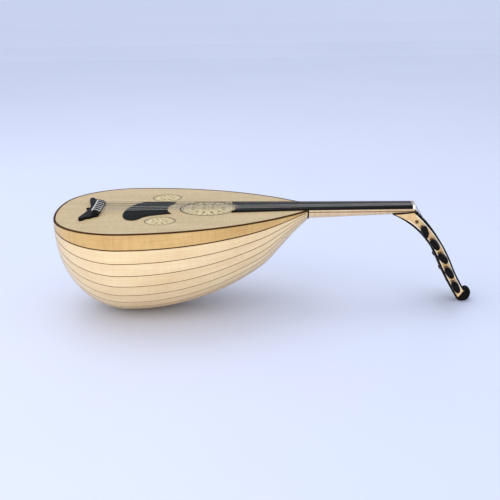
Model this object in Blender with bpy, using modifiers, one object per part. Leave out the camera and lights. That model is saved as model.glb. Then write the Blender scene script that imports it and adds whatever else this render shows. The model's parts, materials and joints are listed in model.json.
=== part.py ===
"""Eleven-string oud lying on its bowl, with the soundboard level and the neck along +X.

Metres, +Z up. Inside the file x = 0 is the joint of neck and body and z = 0 the top of the
soundboard; the empty "oud_frame" carries every sub-part and moves that datum so that the
origin is the bottom centre of the whole instrument. The treble side is -Y.
"""
import math

import bmesh
import bpy

# ---------------------------------------------------------------- driving dimensions
GAP = 0.0003                  # clearance between pieces that touch

BODY_HALF_WIDTH = 0.1755
BODY_WIDEST_X = -0.334
BOWL_DEPTH = 0.188            # soundboard top to the lowest rib
TAIL_RADIUS = 0.350           # the outline's three arcs
SHOULDER_RADIUS = 0.1364
FLANK_RADIUS = 0.450
RIB_THICKNESS = 0.003
RIB_COUNT = 21
EDGE_RIB_SHARE = 1.12         # girth of an edge rib over that of any other
REST_HALF_LENGTH = 0.010      # the lowest rib is level this far each way of the widest place
TIP_HALF_WIDTH = 0.020        # the ribs stop here at the tail, under the cap
TAIL_CAP_THICKNESS = 0.0026

BOARD_THICKNESS = 0.0024
BINDING_WIDTH = 0.0040
BRACE_DEPTH = 0.012
BRACE_WIDTH = 0.006
BRACE_PLACES = (-0.086, -0.130, -0.239, -0.306, -0.352, -0.402)
LINING_WIDTH = 0.006
BLOCK_DEPTH = 0.042           # length of the neck block

ROSETTE_X = -0.187
ROSETTE_RADIUS = 0.0475       # large sound hole
SMALL_ROSETTE_X = -0.271
SMALL_ROSETTE_Y = 0.0875
SMALL_ROSETTE_RADIUS = 0.0255
ROSETTE_THICKNESS = 0.0016

NECK_LENGTH = 0.200
JOINT_HALF_WIDTH = 0.0271
JOINT_DEPTH = 0.0212
NECK_END_DEPTH = 0.0160       # below the soundboard, where the neck's straight back ends
NECK_STRAIGHT_END = 0.150
NUT_HALF_WIDTH = 0.0187
SCARF_START_X = 0.158         # where the pegbox's tip runs out under the neck
SCARF_START_DEPTH = 0.0124
SCARF_END_DEPTH = 0.0078
RING_THICKNESS = 0.0024

FINGERBOARD_TOP = 0.0035
FINGERBOARD_SINK = 0.0024     # its underside is this much lower at the nut than at the joint
FINGERBOARD_END_HALF_WIDTH = 0.0350
FINGERBOARD_CLEARANCE = 0.0085   # from the sound hole's edge to the board's hollow end
NUT_LENGTH = 0.0045
NUT_TOP = 0.0047

GUARD_THICKNESS = 0.0008
BRIDGE_X = -0.394             # middle of the tie block
BRIDGE_HALF_LENGTH = 0.040
BRIDGE_WIDTH = 0.013
BRIDGE_HEIGHT = 0.0100
BRIDGE_ARM_HEIGHT = 0.0045
BLOCK_FALL = 0.0042           # the tie block is this much lower in front
BLOCK_FOOT = 0.0010           # it starts this high, inside the foot
TIE_HEIGHT = 0.0072           # string holes above the soundboard
STRING_HOLE_RADIUS = 0.0009

STRING_RADIUS = 0.00042
COURSE_SPREAD_BRIDGE = 0.0330    # outermost course from the middle line
COURSE_SPREAD_NUT = 0.0138
PAIR_HALF_GAP_BRIDGE = 0.0019
PAIR_HALF_GAP_NUT = 0.0010
WINDING_TURNS = 2.25
WINDING_PITCH = 0.0012
WINDING_SIDES = 8             # points for each turn

# the pegbox's edges seen from the side: start (x, z), heading and (length, turn) legs in degrees
PEGBOX_FRONT = ((0.2005, -0.0081), -42.0, ((0.127, -26.5), (0.060, 10.5)))
PEGBOX_BACK = ((0.158, -0.0127), -24.6, ((0.124, -42.6), (0.094, 8.0)))
PEG_LINE_START = (0.2034, -0.0271)
PEG_LINE_HEADING = -45.1
PEG_LINE_TURNS = (-21.8, 4.5)    # over the first six pegs, then over the rest
PEGBOX_TAPER = 0.0352         # narrowing of each half for every metre towards the finial
PEGBOX_TAPER_FROM = (0.2005, -0.008)
PEGBOX_TAPER_HEADING = -57.0
CHEEK_THICKNESS = 0.0036
PEGBOX_FLOOR = 0.0032
TROUGH_END = 0.1875           # along the pegbox from where its taper starts
PEG_BORE_OVERRUN = 0.006      # how far a peg hole's cutter sticks out of each cheek
FINIAL_RADIUS = 0.0125
FINIAL_X = 0.3025
FINIAL_WIDTH_SHARE = 0.84     # width across over its other diameters
SEAT_CUTTER_SIZE = 0.060      # cube that cuts the finial flat

PEG_COUNT = 11
PEG_SPACING = 0.01585
PEG_HEAD_RADIUS = 0.0042      # shaft radius at the head-side cheek
PEG_TIP_RADIUS = 0.0033
PEG_NECK_LENGTH = 0.020       # bare shaft between cheek and head
PEG_TIP_PROUD = 0.001         # past the far cheek
PEG_COLLAR_LENGTH = 0.003
PEG_COLLAR_RADIUS = 0.0054
PEG_HEAD_LENGTH = 0.024
PEG_HEAD_WIDTH = 0.0235
PEG_HEAD_THICKNESS = 0.0150
PEG_TURNS = (30, 78, 100, 50, 165, 45, 160, 55, 170, 62, 20)   # heads' rest angles, degrees

# ---------------------------------------------------------------- colours
MAPLE = (0.80, 0.66, 0.42)
EDGE_MAPLE = (0.74, 0.48, 0.20)
SPRUCE = (0.72, 0.55, 0.34)
EBONY = (0.012, 0.011, 0.010)
ROSEWOOD = (0.10, 0.035, 0.012)
CREAM = (0.82, 0.74, 0.48)
BONE = (0.88, 0.85, 0.76)
NYLON = (0.85, 0.84, 0.80)
INNER_SPRUCE = (0.62, 0.48, 0.30)


def material(name, colour, roughness, metallic=0.0):
    """Make, or find, a Principled material."""
    found = bpy.data.materials.get(name)
    if found:
        return found
    made = bpy.data.materials.new(name)
    made.use_nodes = True
    shader = made.node_tree.nodes["Principled BSDF"]
    shader.inputs["Base Color"].default_value = (*colour, 1.0)
    shader.inputs["Roughness"].default_value = roughness
    shader.inputs["Metallic"].default_value = metallic
    return made


# ---------------------------------------------------------------- scene and object helpers
for old in list(bpy.data.objects):
    bpy.data.objects.remove(old, do_unlink=True)

PARTS = bpy.data.collections.new("oud")
CUTTERS = bpy.data.collections.new("oud_cutters")
for collection in (PARTS, CUTTERS):
    bpy.context.scene.collection.children.link(collection)

SHOULDER_Y = BODY_HALF_WIDTH - SHOULDER_RADIUS
FLANK_Y = BODY_HALF_WIDTH - FLANK_RADIUS
TAIL_CENTRE_X = BODY_WIDEST_X + math.sqrt((TAIL_RADIUS - SHOULDER_RADIUS) ** 2 - SHOULDER_Y ** 2)
TAIL_ANGLE = math.degrees(math.atan2(SHOULDER_Y, BODY_WIDEST_X - TAIL_CENTRE_X))

FRAME = bpy.data.objects.new("oud_frame", None)
FRAME.location.x = -(TAIL_CENTRE_X - TAIL_RADIUS + FINIAL_X + FINIAL_RADIUS) / 2
FRAME.location.z = BOWL_DEPTH
PARTS.objects.link(FRAME)


def place(obj, finish=None):
    """Link an object to the instrument and hang it on the frame."""
    PARTS.objects.link(obj)
    obj.parent = FRAME
    if finish is not None:
        obj.data.materials.clear()
        obj.data.materials.append(finish)
    return obj


def cutter(obj):
    """Keep a cutting shape out of the instrument."""
    CUTTERS.objects.link(obj)
    obj.parent = FRAME
    obj.hide_render = True
    obj.display_type = "WIRE"
    return obj


def mesh_object(name, bm):
    """Turn a bmesh into an object with all faces pointing out."""
    bmesh.ops.recalc_face_normals(bm, faces=bm.faces)
    mesh = bpy.data.meshes.new(name)
    bm.to_mesh(mesh)
    bm.free()
    return bpy.data.objects.new(name, mesh)


def loft(name, sections):
    """Closed solid through a row of point loops that have equally many points."""
    bm = bmesh.new()
    rings = [[bm.verts.new(point) for point in section] for section in sections]
    for ring, following in zip(rings, rings[1:]):
        for i, vert in enumerate(ring):
            j = (i + 1) % len(ring)
            bm.faces.new((vert, ring[j], following[j], following[i]))
    bm.faces.new(rings[0])
    bm.faces.new(rings[-1])
    return mesh_object(name, bm)


def plate(name, outlines, bottom, top):
    """Flat piece between two heights: the first outline is its edge, the rest are holes."""
    curve = bpy.data.curves.new(name, "CURVE")
    curve.dimensions = "2D"
    curve.fill_mode = "BOTH"
    curve.extrude = (top - bottom) / 2
    for outline in outlines:
        spline = curve.splines.new("POLY")
        spline.points.add(len(outline) - 1)
        spline.use_cyclic_u = True
        for point, (x, y) in zip(spline.points, outline):
            point.co = (x, y, 0.0, 1.0)
    obj = bpy.data.objects.new(name, curve)
    obj.location.z = (top + bottom) / 2
    return obj


def as_mesh(obj):
    """Replace a curve, or an object with modifiers, by its finished and welded mesh."""
    scene_collection = bpy.context.scene.collection
    scene_collection.objects.link(obj)
    bpy.context.view_layer.update()
    evaluated = obj.evaluated_get(bpy.context.evaluated_depsgraph_get())
    mesh = bpy.data.meshes.new_from_object(evaluated)
    bm = bmesh.new()
    bm.from_mesh(mesh)
    bmesh.ops.remove_doubles(bm, verts=bm.verts, dist=0.00001)
    bm.to_mesh(mesh)
    bm.free()
    made = bpy.data.objects.new(obj.name + "_mesh", mesh)
    made.matrix_world = obj.matrix_world.copy()
    name = obj.name
    bpy.data.objects.remove(obj)
    made.name = name
    return made


def boolean(obj, tool, operation):
    """Add an exact Boolean to an object."""
    modifier = obj.modifiers.new(tool.name, "BOOLEAN")
    modifier.operation = operation
    modifier.solver = "EXACT"
    modifier.object = tool


def smooth(obj, angle=40):
    """Shade a round piece smooth, keeping its real edges."""
    obj.data.shade_smooth()
    obj.data.set_sharp_from_angle(angle=math.radians(angle))


def circle(x, y, radius, count):
    """Points round a circle."""
    turns = [2 * math.pi * i / count for i in range(count)]
    return [(x + radius * math.cos(a), y + radius * math.sin(a)) for a in turns]


def arc(x, y, radius, start, end, count):
    """Points along an arc, angles in degrees, both ends included."""
    angles = [math.radians(start + (end - start) * i / count) for i in range(count + 1)]
    return [(x + radius * math.cos(a), y + radius * math.sin(a)) for a in angles]


def walk(start, heading, legs, step):
    """Points of a path made of arcs: each leg is a length and the degrees it turns."""
    x, z = start
    points = [(x, z)]
    for length, turn in legs:
        steps = max(1, round(length / step))
        for _ in range(steps):
            heading += turn / steps / 2
            x += length / steps * math.cos(math.radians(heading))
            z += length / steps * math.sin(math.radians(heading))
            heading += turn / steps / 2
            points.append((x, z))
    return points


# ---------------------------------------------------------------- the outline and the bowl
SEAT = -BOARD_THICKNESS - GAP     # what lies under the soundboard starts here


def outline_point(angle_of, angle, inset):
    """Point of the outline's flank, shoulder or tail arc, moved inwards by the inset."""
    x, y, radius = {
        "flank": (BODY_WIDEST_X, FLANK_Y, FLANK_RADIUS),
        "shoulder": (BODY_WIDEST_X, SHOULDER_Y, SHOULDER_RADIUS),
        "tail": (TAIL_CENTRE_X, 0.0, TAIL_RADIUS),
    }[angle_of]
    turn = math.radians(angle)
    return x + (radius - inset) * math.cos(turn), y + (radius - inset) * math.sin(turn)


def spread(start, end, count):
    """Evenly spaced values from start to end, both included."""
    return [start + (end - start) * i / count for i in range(count + 1)]


def half_outline(inset, first_x, counts=(12, 8, 3)):
    """Half outline from first_x round to the middle of the tail."""
    start = math.degrees(math.acos((first_x - BODY_WIDEST_X) / (FLANK_RADIUS - inset)))
    points = [outline_point("flank", a, inset) for a in spread(start, 90, counts[0])]
    points += [outline_point("shoulder", a, inset)
               for a in spread(90, TAIL_ANGLE, counts[1])[1:]]
    points += [outline_point("tail", a, inset) for a in spread(TAIL_ANGLE, 180, counts[2])[1:]]
    return points


def mirrored(points):
    """Close a half outline that starts off the middle line and ends on it."""
    return points + [(x, -y) for x, y in reversed(points[:-1])]


def roundness(x):
    """Depth of the bowl over its half width at x: it flattens towards the neck."""
    blend = min(1.0, max(0.0, -x / 0.090))
    blend = blend * blend * (3 - 2 * blend)
    return JOINT_ROUNDNESS + (BOWL_ROUNDNESS - JOINT_ROUNDNESS) * blend


def seam_angles(shape):
    """Angles of the ribs' edges, rim to rim, with equal girths for all but the edge ribs."""
    steps = 3600
    girth = [0.0]
    for i in range(steps):
        angle = math.pi * (i + 0.5) / steps
        girth.append(girth[-1] + math.hypot(math.sin(angle), shape * math.cos(angle)))
    one = girth[-1] / (RIB_COUNT - 2 + 2 * EDGE_RIB_SHARE)
    wanted = [0.0] + [one * (EDGE_RIB_SHARE + i) for i in range(RIB_COUNT - 1)] + [girth[-1]]
    angles = [0.0]
    i = 0
    for target in wanted[1:-1]:
        while girth[i + 1] < target:
            i += 1
        share = (target - girth[i]) / (girth[i + 1] - girth[i])
        angles.append(math.pi * (i + share) / steps)
    return angles + [math.pi]


def level_width():
    """Half width at which the lowest rib's level stretch begins."""
    drop = SHOULDER_RADIUS - math.sqrt(SHOULDER_RADIUS ** 2 - REST_HALF_LENGTH ** 2)
    return BODY_HALF_WIDTH - drop


SEAMS = seam_angles(BOWL_DEPTH / BODY_HALF_WIDTH)
LOW_EDGE = SEAMS[RIB_COUNT // 2] + GAP / 2 / level_width()
BOWL_ROUNDNESS = BOWL_DEPTH / (level_width() * math.sin(LOW_EDGE))
JOINT_ROUNDNESS = JOINT_DEPTH / JOINT_HALF_WIDTH


def skin(x, half_width, angle):
    """Point of the bowl's skin; the angle runs from the treble rim under to the bass rim."""
    deep = min(half_width, level_width()) * roundness(x)
    return x, -half_width * math.cos(angle), -deep * math.sin(angle)


def rib_stations():
    """Arc names and angles where the ribs' sections stand."""
    joint = math.degrees(math.acos((-RING_THICKNESS / 2 - GAP - BODY_WIDEST_X) / FLANK_RADIUS))
    rest_flank = math.degrees(math.acos(REST_HALF_LENGTH / FLANK_RADIUS))
    rest_shoulder = 90 + math.degrees(math.asin(REST_HALF_LENGTH / SHOULDER_RADIUS))
    tip = 180 - math.degrees(math.asin(TIP_HALF_WIDTH / TAIL_RADIUS))
    stations = [("flank", a) for a in spread(joint, rest_flank, 9)]
    stations += [("flank", 90)]
    stations += [("shoulder", a) for a in spread(rest_shoulder, TAIL_ANGLE, 5)]
    stations += [("tail", a) for a in spread(TAIL_ANGLE, tip, 2)[1:]]
    return stations


def rib_section(station, low, high):
    """Four corners of a rib's section: outer edge to edge, then back along the inside."""
    corners = []
    for inset, edges in ((0.0, (low, high)), (RIB_THICKNESS, (high, low))):
        x, half_width = outline_point(*station, inset)
        deep = min(half_width, level_width())
        rim = math.asin(-SEAT / (deep * roundness(x)))
        seam_gap = GAP / 2 / deep
        for edge in edges:
            if edge == 0.0:
                angle = rim
            elif edge == math.pi:
                angle = math.pi - rim
            else:
                angle = edge + (seam_gap if edge == low else -seam_gap)
            corners.append(skin(x, half_width, angle))
    return corners


def make_ribs():
    """The bowl's bent ribs, rim to rim."""
    stations = rib_stations()
    for i in range(RIB_COUNT):
        sections = [rib_section(station, SEAMS[i], SEAMS[i + 1]) for station in stations]
        edge = i in (0, RIB_COUNT - 1)
        finish = (material("edge_rib_maple", EDGE_MAPLE, 0.3) if edge
                  else material("rib_maple", MAPLE, 0.32))
        place(loft(f"rib_{i + 1:02d}", sections), finish)


def d_section(x, half_width, depth, top=0.0, floor=-1.0, count=12):
    """Loop across the instrument: flat on top, half an ellipse below."""
    loop = []
    for turn in spread(0, math.pi, count):
        z = -depth * math.sin(turn)
        loop.append((x, -half_width * math.cos(turn), min(top, max(floor, z))))
    return loop


# ---------------------------------------------------------------- inside the bowl
def inner_width(x, clearance):
    """Half width inside the ribs' flanks at x."""
    radius = FLANK_RADIUS - RIB_THICKNESS - clearance
    return FLANK_Y + math.sqrt(radius ** 2 - (x - BODY_WIDEST_X) ** 2)


def make_blocks():
    """Neck block and tail block, which the ribs' ends are glued to."""
    finish = material("inner_spruce", INNER_SPRUCE, 0.6)
    start = -RING_THICKNESS / 2 - GAP
    sections = []
    for x in spread(start - 0.0022, start - BLOCK_DEPTH, 3):
        half_width = inner_width(x, 2 * GAP)
        sections.append(d_section(x, half_width, half_width * roundness(x), SEAT))
    place(loft("neck_block", sections), finish)

    sections = []
    for angle in (178.0, 175.0, 171.0):
        x, half_width = outline_point("tail", angle, RIB_THICKNESS + 3 * GAP)
        sections.append(d_section(x, half_width, half_width * roundness(x), SEAT))
    x = sections[-1][0][0] + 0.014
    sections.append(d_section(x, half_width, half_width * roundness(x), SEAT))
    place(loft("tail_block", sections), finish)


def make_tail_cap():
    """Half-round plug that closes the bowl where the ribs' tips meet."""
    half_width = TIP_HALF_WIDTH - 2 * GAP
    x = TAIL_CENTRE_X - TAIL_RADIUS + 0.0005
    deep = half_width * roundness(x)
    sections = [d_section(x + step, half_width, deep, SEAT) for step in (0, TAIL_CAP_THICKNESS)]
    place(loft("tail_cap", sections), material("cap_ebony", EBONY, 0.3))


def width_at(outline, x):
    """Half width of a half outline at x, read off its nearest two points."""
    for (x1, y1), (x2, y2) in zip(outline, outline[1:]):
        if x2 <= x <= x1:
            return y1 + (y2 - y1) * (x1 - x) / (x1 - x2)
    return outline[-1][1]


def make_braces():
    """Transverse bars and rim lining, glued up as one frame under the soundboard."""
    inset = RIB_THICKNESS + 0.0030
    neck_end = -RING_THICKNESS / 2 - 3 * GAP - BLOCK_DEPTH
    tail_end = TAIL_CENTRE_X - TAIL_RADIUS + 0.0240
    outer = [p for p in half_outline(inset, neck_end, (9, 8, 1)) if p[0] > tail_end]
    fine = half_outline(inset, neck_end, (60, 60, 1))
    outer.append((tail_end, width_at(fine, tail_end)))
    bars = (neck_end - BRACE_WIDTH / 2,) + BRACE_PLACES + (tail_end + BRACE_WIDTH / 2,)
    holes = []
    for before, after in zip(bars, bars[1:]):
        bay = spread(before - BRACE_WIDTH / 2, after + BRACE_WIDTH / 2, 2)
        side = [(x, width_at(fine, x) - LINING_WIDTH) for x in bay]
        holes.append(side + [(x, -y) for x, y in reversed(side)])
    outline = outer + [(x, -y) for x, y in reversed(outer)]
    place(plate("brace_frame", [outline] + holes, SEAT - BRACE_DEPTH, SEAT),
          material("inner_spruce", INNER_SPRUCE, 0.6))


# ---------------------------------------------------------------- the soundboard and what is on it
def make_soundboard():
    """Spruce plate with three sound holes, and the binding round its edge."""
    joint = -RING_THICKNESS / 2 - GAP
    edge = mirrored(half_outline(BINDING_WIDTH + GAP, joint))
    holes = [circle(ROSETTE_X, 0.0, ROSETTE_RADIUS, 32)]
    holes += [circle(SMALL_ROSETTE_X, side * SMALL_ROSETTE_Y, SMALL_ROSETTE_RADIUS, 24)
              for side in (-1, 1)]
    place(plate("soundboard", [edge] + holes, -BOARD_THICKNESS, 0.0),
          material("soundboard_spruce", SPRUCE, 0.45))

    outside = mirrored(half_outline(0.0, joint))
    inside = mirrored(half_outline(BINDING_WIDTH, joint))
    place(plate("edge_binding", [outside + inside[::-1]], -BOARD_THICKNESS, 0.0),
          material("binding_ebony", ROSEWOOD, 0.35))


def slot(x, y, inner, outer, half_width, turn):
    """Outline of a pointed slot that runs out from a centre."""
    middle = (inner + outer) / 2
    shape = ((inner, 0), (inner + 0.002, -half_width), (middle, -half_width * 1.1),
             (outer - 0.002, -half_width), (outer, 0), (outer - 0.002, half_width),
             (middle, half_width * 1.1), (inner + 0.002, half_width))
    cos, sin = math.cos(turn), math.sin(turn)
    return [(x + r * cos - t * sin, y + r * sin + t * cos) for r, t in shape]


def make_rosette(name, x, y, radius, rings, sides):
    """Pierced disc set in a sound hole: each ring is (count, inner, outer) as shares."""
    outlines = [circle(x, y, radius - GAP, sides)]
    for count, inner, outer in rings:
        for i in range(count):
            turn = 2 * math.pi * i / count
            outlines.append(slot(x, y, inner * radius, outer * radius, 0.0017, turn))
    place(plate(name, outlines, -ROSETTE_THICKNESS - GAP, -GAP),
          material("rosette_cream", CREAM, 0.5))


def make_rosettes():
    """One large rosette on the middle line and a small one on each side."""
    make_rosette("rosette_large", ROSETTE_X, 0.0, ROSETTE_RADIUS,
                 ((16, 0.56, 0.88), (8, 0.20, 0.48)), 32)
    for side, where in ((-1, "near"), (1, "far")):
        make_rosette(f"rosette_small_{where}", SMALL_ROSETTE_X, side * SMALL_ROSETTE_Y,
                     SMALL_ROSETTE_RADIUS, ((8, 0.36, 0.84),), 24)


def make_pickguard():
    """Thin black guard, hollowed round the large rosette and the treble-side one."""
    outline = arc(ROSETTE_X, 0.0, 0.077, 146, 209, 6)
    outline += arc(SMALL_ROSETTE_X, -SMALL_ROSETTE_Y, 0.042, 113, 160, 4)
    outline += [(-0.317, -0.081), (-0.325, -0.0825), (-0.333, -0.077), (-0.339, -0.066),
                (-0.343, -0.050), (-0.344, -0.032), (-0.342, -0.010), (-0.337, 0.012),
                (-0.329, 0.032), (-0.318, 0.047), (-0.306, 0.053), (-0.257, 0.049)]
    place(plate("pickguard", [outline], GAP, GAP + GUARD_THICKNESS),
          material("guard_ebony", EBONY, 0.25))


# half of the bridge's foot, from the point on the tail side round the curled end to the front
BRIDGE_FOOT = ((-0.4170, 0.0), (-0.4118, 0.0035), (-0.4096, 0.0090), (-0.4118, 0.0200),
               (-0.4150, 0.0380), (-0.4180, 0.0540), (-0.4205, 0.0680), (-0.4200, 0.0765),
               (-0.4165, 0.0805), (-0.4125, 0.0785), (-0.4105, 0.0720), (-0.4070, 0.0670),
               (-0.4020, 0.0665), (-0.3985, 0.0600), (-0.3930, 0.0550), (-0.3880, 0.0490))


def block_top(x):
    """Height of the tie block at x: level behind, then falling in a curve to the front."""
    share = max(0.0, (x - BRIDGE_X) / BRIDGE_WIDTH + 0.25) / 0.75
    return BRIDGE_HEIGHT - BLOCK_FALL * share ** 2.2


def make_bridge():
    """Foot with curled ends, tie block on top, and a hole through it for each string."""
    foot = list(BRIDGE_FOOT)
    outline = foot + [(x, -y) for x, y in reversed(foot[1:])]
    bridge = as_mesh(plate("bridge", [outline], GAP, BRIDGE_ARM_HEIGHT))

    back, front = BRIDGE_X - BRIDGE_WIDTH / 2, BRIDGE_X + BRIDGE_WIDTH / 2
    section = [(back, BLOCK_FOOT)] + [(x, block_top(x)) for x in spread(back, front, 6)]
    section.append((front, BLOCK_FOOT))
    shoulder = BRIDGE_HALF_LENGTH
    end = ((shoulder - 0.0010, 1.0), (shoulder + 0.0060, 0.80), (shoulder + 0.0110, 0.42),
           (shoulder + 0.0120, 0.04))
    shares = [(-y, share) for y, share in reversed(end)] + list(end)
    block = loft("bridge_block", [[(x, y, BLOCK_FOOT + (z - BLOCK_FOOT) * share)
                                   for x, z in section] for y, share in shares])
    boolean(bridge, cutter(block), "UNION")
    for i in range(PEG_COUNT):
        y = string_y(i, COURSE_SPREAD_BRIDGE, PAIR_HALF_GAP_BRIDGE)
        bm = bmesh.new()
        bmesh.ops.create_cone(bm, cap_ends=True, segments=8, radius1=STRING_HOLE_RADIUS,
                              radius2=STRING_HOLE_RADIUS, depth=2 * BRIDGE_WIDTH)
        hole = mesh_object(f"string_hole_{i + 1:02d}", bm)
        hole.rotation_euler.y = math.pi / 2
        hole.location = (BRIDGE_X, y, TIE_HEIGHT)
        boolean(bridge, cutter(hole), "DIFFERENCE")
    place(bridge, material("bridge_ebony", EBONY, 0.3))


# ---------------------------------------------------------------- the neck
def neck_half_width(x):
    """Half width of neck and fingerboard beyond the joint."""
    return JOINT_HALF_WIDTH + (NUT_HALF_WIDTH - JOINT_HALF_WIDTH) * x / NECK_LENGTH


def make_neck():
    """Dark ring at the joint, and the D-section neck with its scarf face for the pegbox."""
    ends = [d_section(x, JOINT_HALF_WIDTH + 0.0003, JOINT_DEPTH + 0.0004)
            for x in (-RING_THICKNESS / 2, RING_THICKNESS / 2)]
    place(loft("neck_ring", ends), material("ring_ebony", EBONY, 0.3))

    sections = []
    start = RING_THICKNESS / 2 + GAP
    deep = JOINT_DEPTH - 0.0008
    for x in (start, 0.055, 0.110, NECK_STRAIGHT_END, 0.154, SCARF_START_X, 0.180, NECK_LENGTH):
        depth = deep + (NECK_END_DEPTH - deep) * min(1.0, x / NECK_STRAIGHT_END)
        floor = -depth
        if x > NECK_STRAIGHT_END:
            share = (x - NECK_STRAIGHT_END) / (SCARF_START_X - NECK_STRAIGHT_END)
            floor = -depth + (NECK_END_DEPTH - SCARF_START_DEPTH) * min(1.0, share)
        if x > SCARF_START_X:
            share = (x - SCARF_START_X) / (NECK_LENGTH - SCARF_START_X)
            floor = -SCARF_START_DEPTH + (SCARF_START_DEPTH - SCARF_END_DEPTH) * share
        top = -FINGERBOARD_SINK * x / NECK_LENGTH
        sections.append(d_section(x, neck_half_width(x), depth, top, floor))
    place(loft("neck", sections), material("neck_maple", MAPLE, 0.3))


def sink_underside(obj):
    """Lower a flat piece's underside evenly from the joint to the nut."""
    piece = as_mesh(obj)
    bm = bmesh.new()
    bm.from_mesh(piece.data)
    everything = bm.verts[:] + bm.edges[:] + bm.faces[:]
    bmesh.ops.bisect_plane(bm, geom=everything, plane_co=(0.0, 0.0, 0.0),
                           plane_no=(1.0, 0.0, 0.0), dist=0.000001)
    for vert in bm.verts:
        if vert.co.z < 0.0:
            vert.co.z -= FINGERBOARD_SINK * max(0.0, vert.co.x) / NECK_LENGTH
    bm.to_mesh(piece.data)
    bm.free()
    return piece


def make_fingerboard():
    """Ebony board from the nut to a hollow end round the large rosette, and the nut."""
    nut_front = NECK_LENGTH - NUT_LENGTH
    radius = ROSETTE_RADIUS + FINGERBOARD_CLEARANCE
    half_width = FINGERBOARD_END_HALF_WIDTH
    horn = math.degrees(math.asin(half_width / radius))
    outline = [(0.0, -JOINT_HALF_WIDTH), (nut_front, -neck_half_width(nut_front))]
    outline += [(x, -y) for x, y in reversed(outline)]
    outline += arc(ROSETTE_X, 0.0, radius, horn, -horn, 10)
    place(sink_underside(plate("fingerboard", [outline], GAP, FINGERBOARD_TOP)),
          material("fingerboard_ebony", EBONY, 0.3))

    start = nut_front + GAP
    half_width = neck_half_width(nut_front)
    outline = [(start, -half_width), (NECK_LENGTH, -half_width),
               (NECK_LENGTH, half_width), (start, half_width)]
    place(sink_underside(plate("nut", [outline], GAP, NUT_TOP)), material("nut_bone", BONE, 0.35))


# ---------------------------------------------------------------- the pegbox
def taper_distance(x, z):
    """Distance of a point along the pegbox from where its taper starts."""
    turn = math.radians(PEGBOX_TAPER_HEADING)
    x0, z0 = PEGBOX_TAPER_FROM
    return (x - x0) * math.cos(turn) + (z - z0) * math.sin(turn)


def pegbox_half_width(x, z):
    """Half width across the cheeks."""
    return NUT_HALF_WIDTH - PEGBOX_TAPER * taper_distance(x, z)


def offset_path(path, distance):
    """Move a path sideways; a positive distance is to the left of its heading."""
    moved = []
    for i, (x, z) in enumerate(path):
        before, after = path[max(0, i - 1)], path[min(len(path) - 1, i + 1)]
        dx, dz = after[0] - before[0], after[1] - before[1]
        size = math.hypot(dx, dz)
        moved.append((x - distance * dz / size, z + distance * dx / size))
    return moved


def side_slab(name, outline, inset):
    """Side outline given the pegbox's tapering width, less an inset on each side."""
    slab = plate(name, [outline], -1.0, 1.0)
    slab.rotation_euler.x = math.pi / 2
    slab.location = (0.0, 0.0, 0.0)
    slab = as_mesh(slab)
    for vert in slab.data.vertices:
        x, z, side = vert.co
        vert.co.z = math.copysign(pegbox_half_width(x, z) - inset, side)
    return slab


def peg_places():
    """Centres (x, z) of the pegs, nut to finial."""
    first = 6 * PEG_SPACING
    rest = (PEG_COUNT - 7) * PEG_SPACING
    legs = ((first, PEG_LINE_TURNS[0]), (rest, PEG_LINE_TURNS[1]))
    return walk(PEG_LINE_START, PEG_LINE_HEADING, legs, PEG_SPACING)


def peg_radius(half_width, y):
    """Shaft radius at a distance y towards the head from the pegbox's middle."""
    share = (y / half_width + 1) / 2
    return PEG_TIP_RADIUS + (PEG_HEAD_RADIUS - PEG_TIP_RADIUS) * share


def peg_side(index):
    """-1 for a peg whose head is on the treble side, +1 on the bass side."""
    return 1 if index % 2 == 0 else -1


def make_pegbox():
    """Sickle-shaped trough, open in front, with tapered holes for the pegs."""
    front = walk(*PEGBOX_FRONT, 0.012)
    back = walk(*PEGBOX_BACK, 0.012)
    pegbox = side_slab("pegbox", front + back[::-1], 0.0)
    places = peg_places()

    mouth = offset_path(walk(*PEGBOX_FRONT, 0.007), 0.008)
    mouth = [p for p in mouth if taper_distance(*p) < TROUGH_END - 0.004]
    floor = offset_path(walk(*PEGBOX_BACK, 0.007), PEGBOX_FLOOR)
    floor = [p for p in floor if 0.001 < taper_distance(*p) < TROUGH_END]
    boolean(pegbox, cutter(side_slab("pegbox_trough", mouth + floor[::-1], CHEEK_THICKNESS)),
            "DIFFERENCE")
    for i, (x, z) in enumerate(places):
        half_width = pegbox_half_width(x, z)
        reach = half_width + PEG_BORE_OVERRUN
        bm = bmesh.new()
        bmesh.ops.create_cone(bm, cap_ends=True, segments=14, depth=2 * reach,
                              radius1=peg_radius(half_width, -reach) + GAP,
                              radius2=peg_radius(half_width, reach) + GAP)
        hole = mesh_object(f"peg_hole_{i + 1:02d}", bm)
        hole.rotation_euler.x = -peg_side(i) * math.pi / 2
        hole.location = (x, 0.0, z)
        boolean(pegbox, cutter(hole), "DIFFERENCE")
    place(pegbox, material("pegbox_maple", MAPLE, 0.3))


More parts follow.
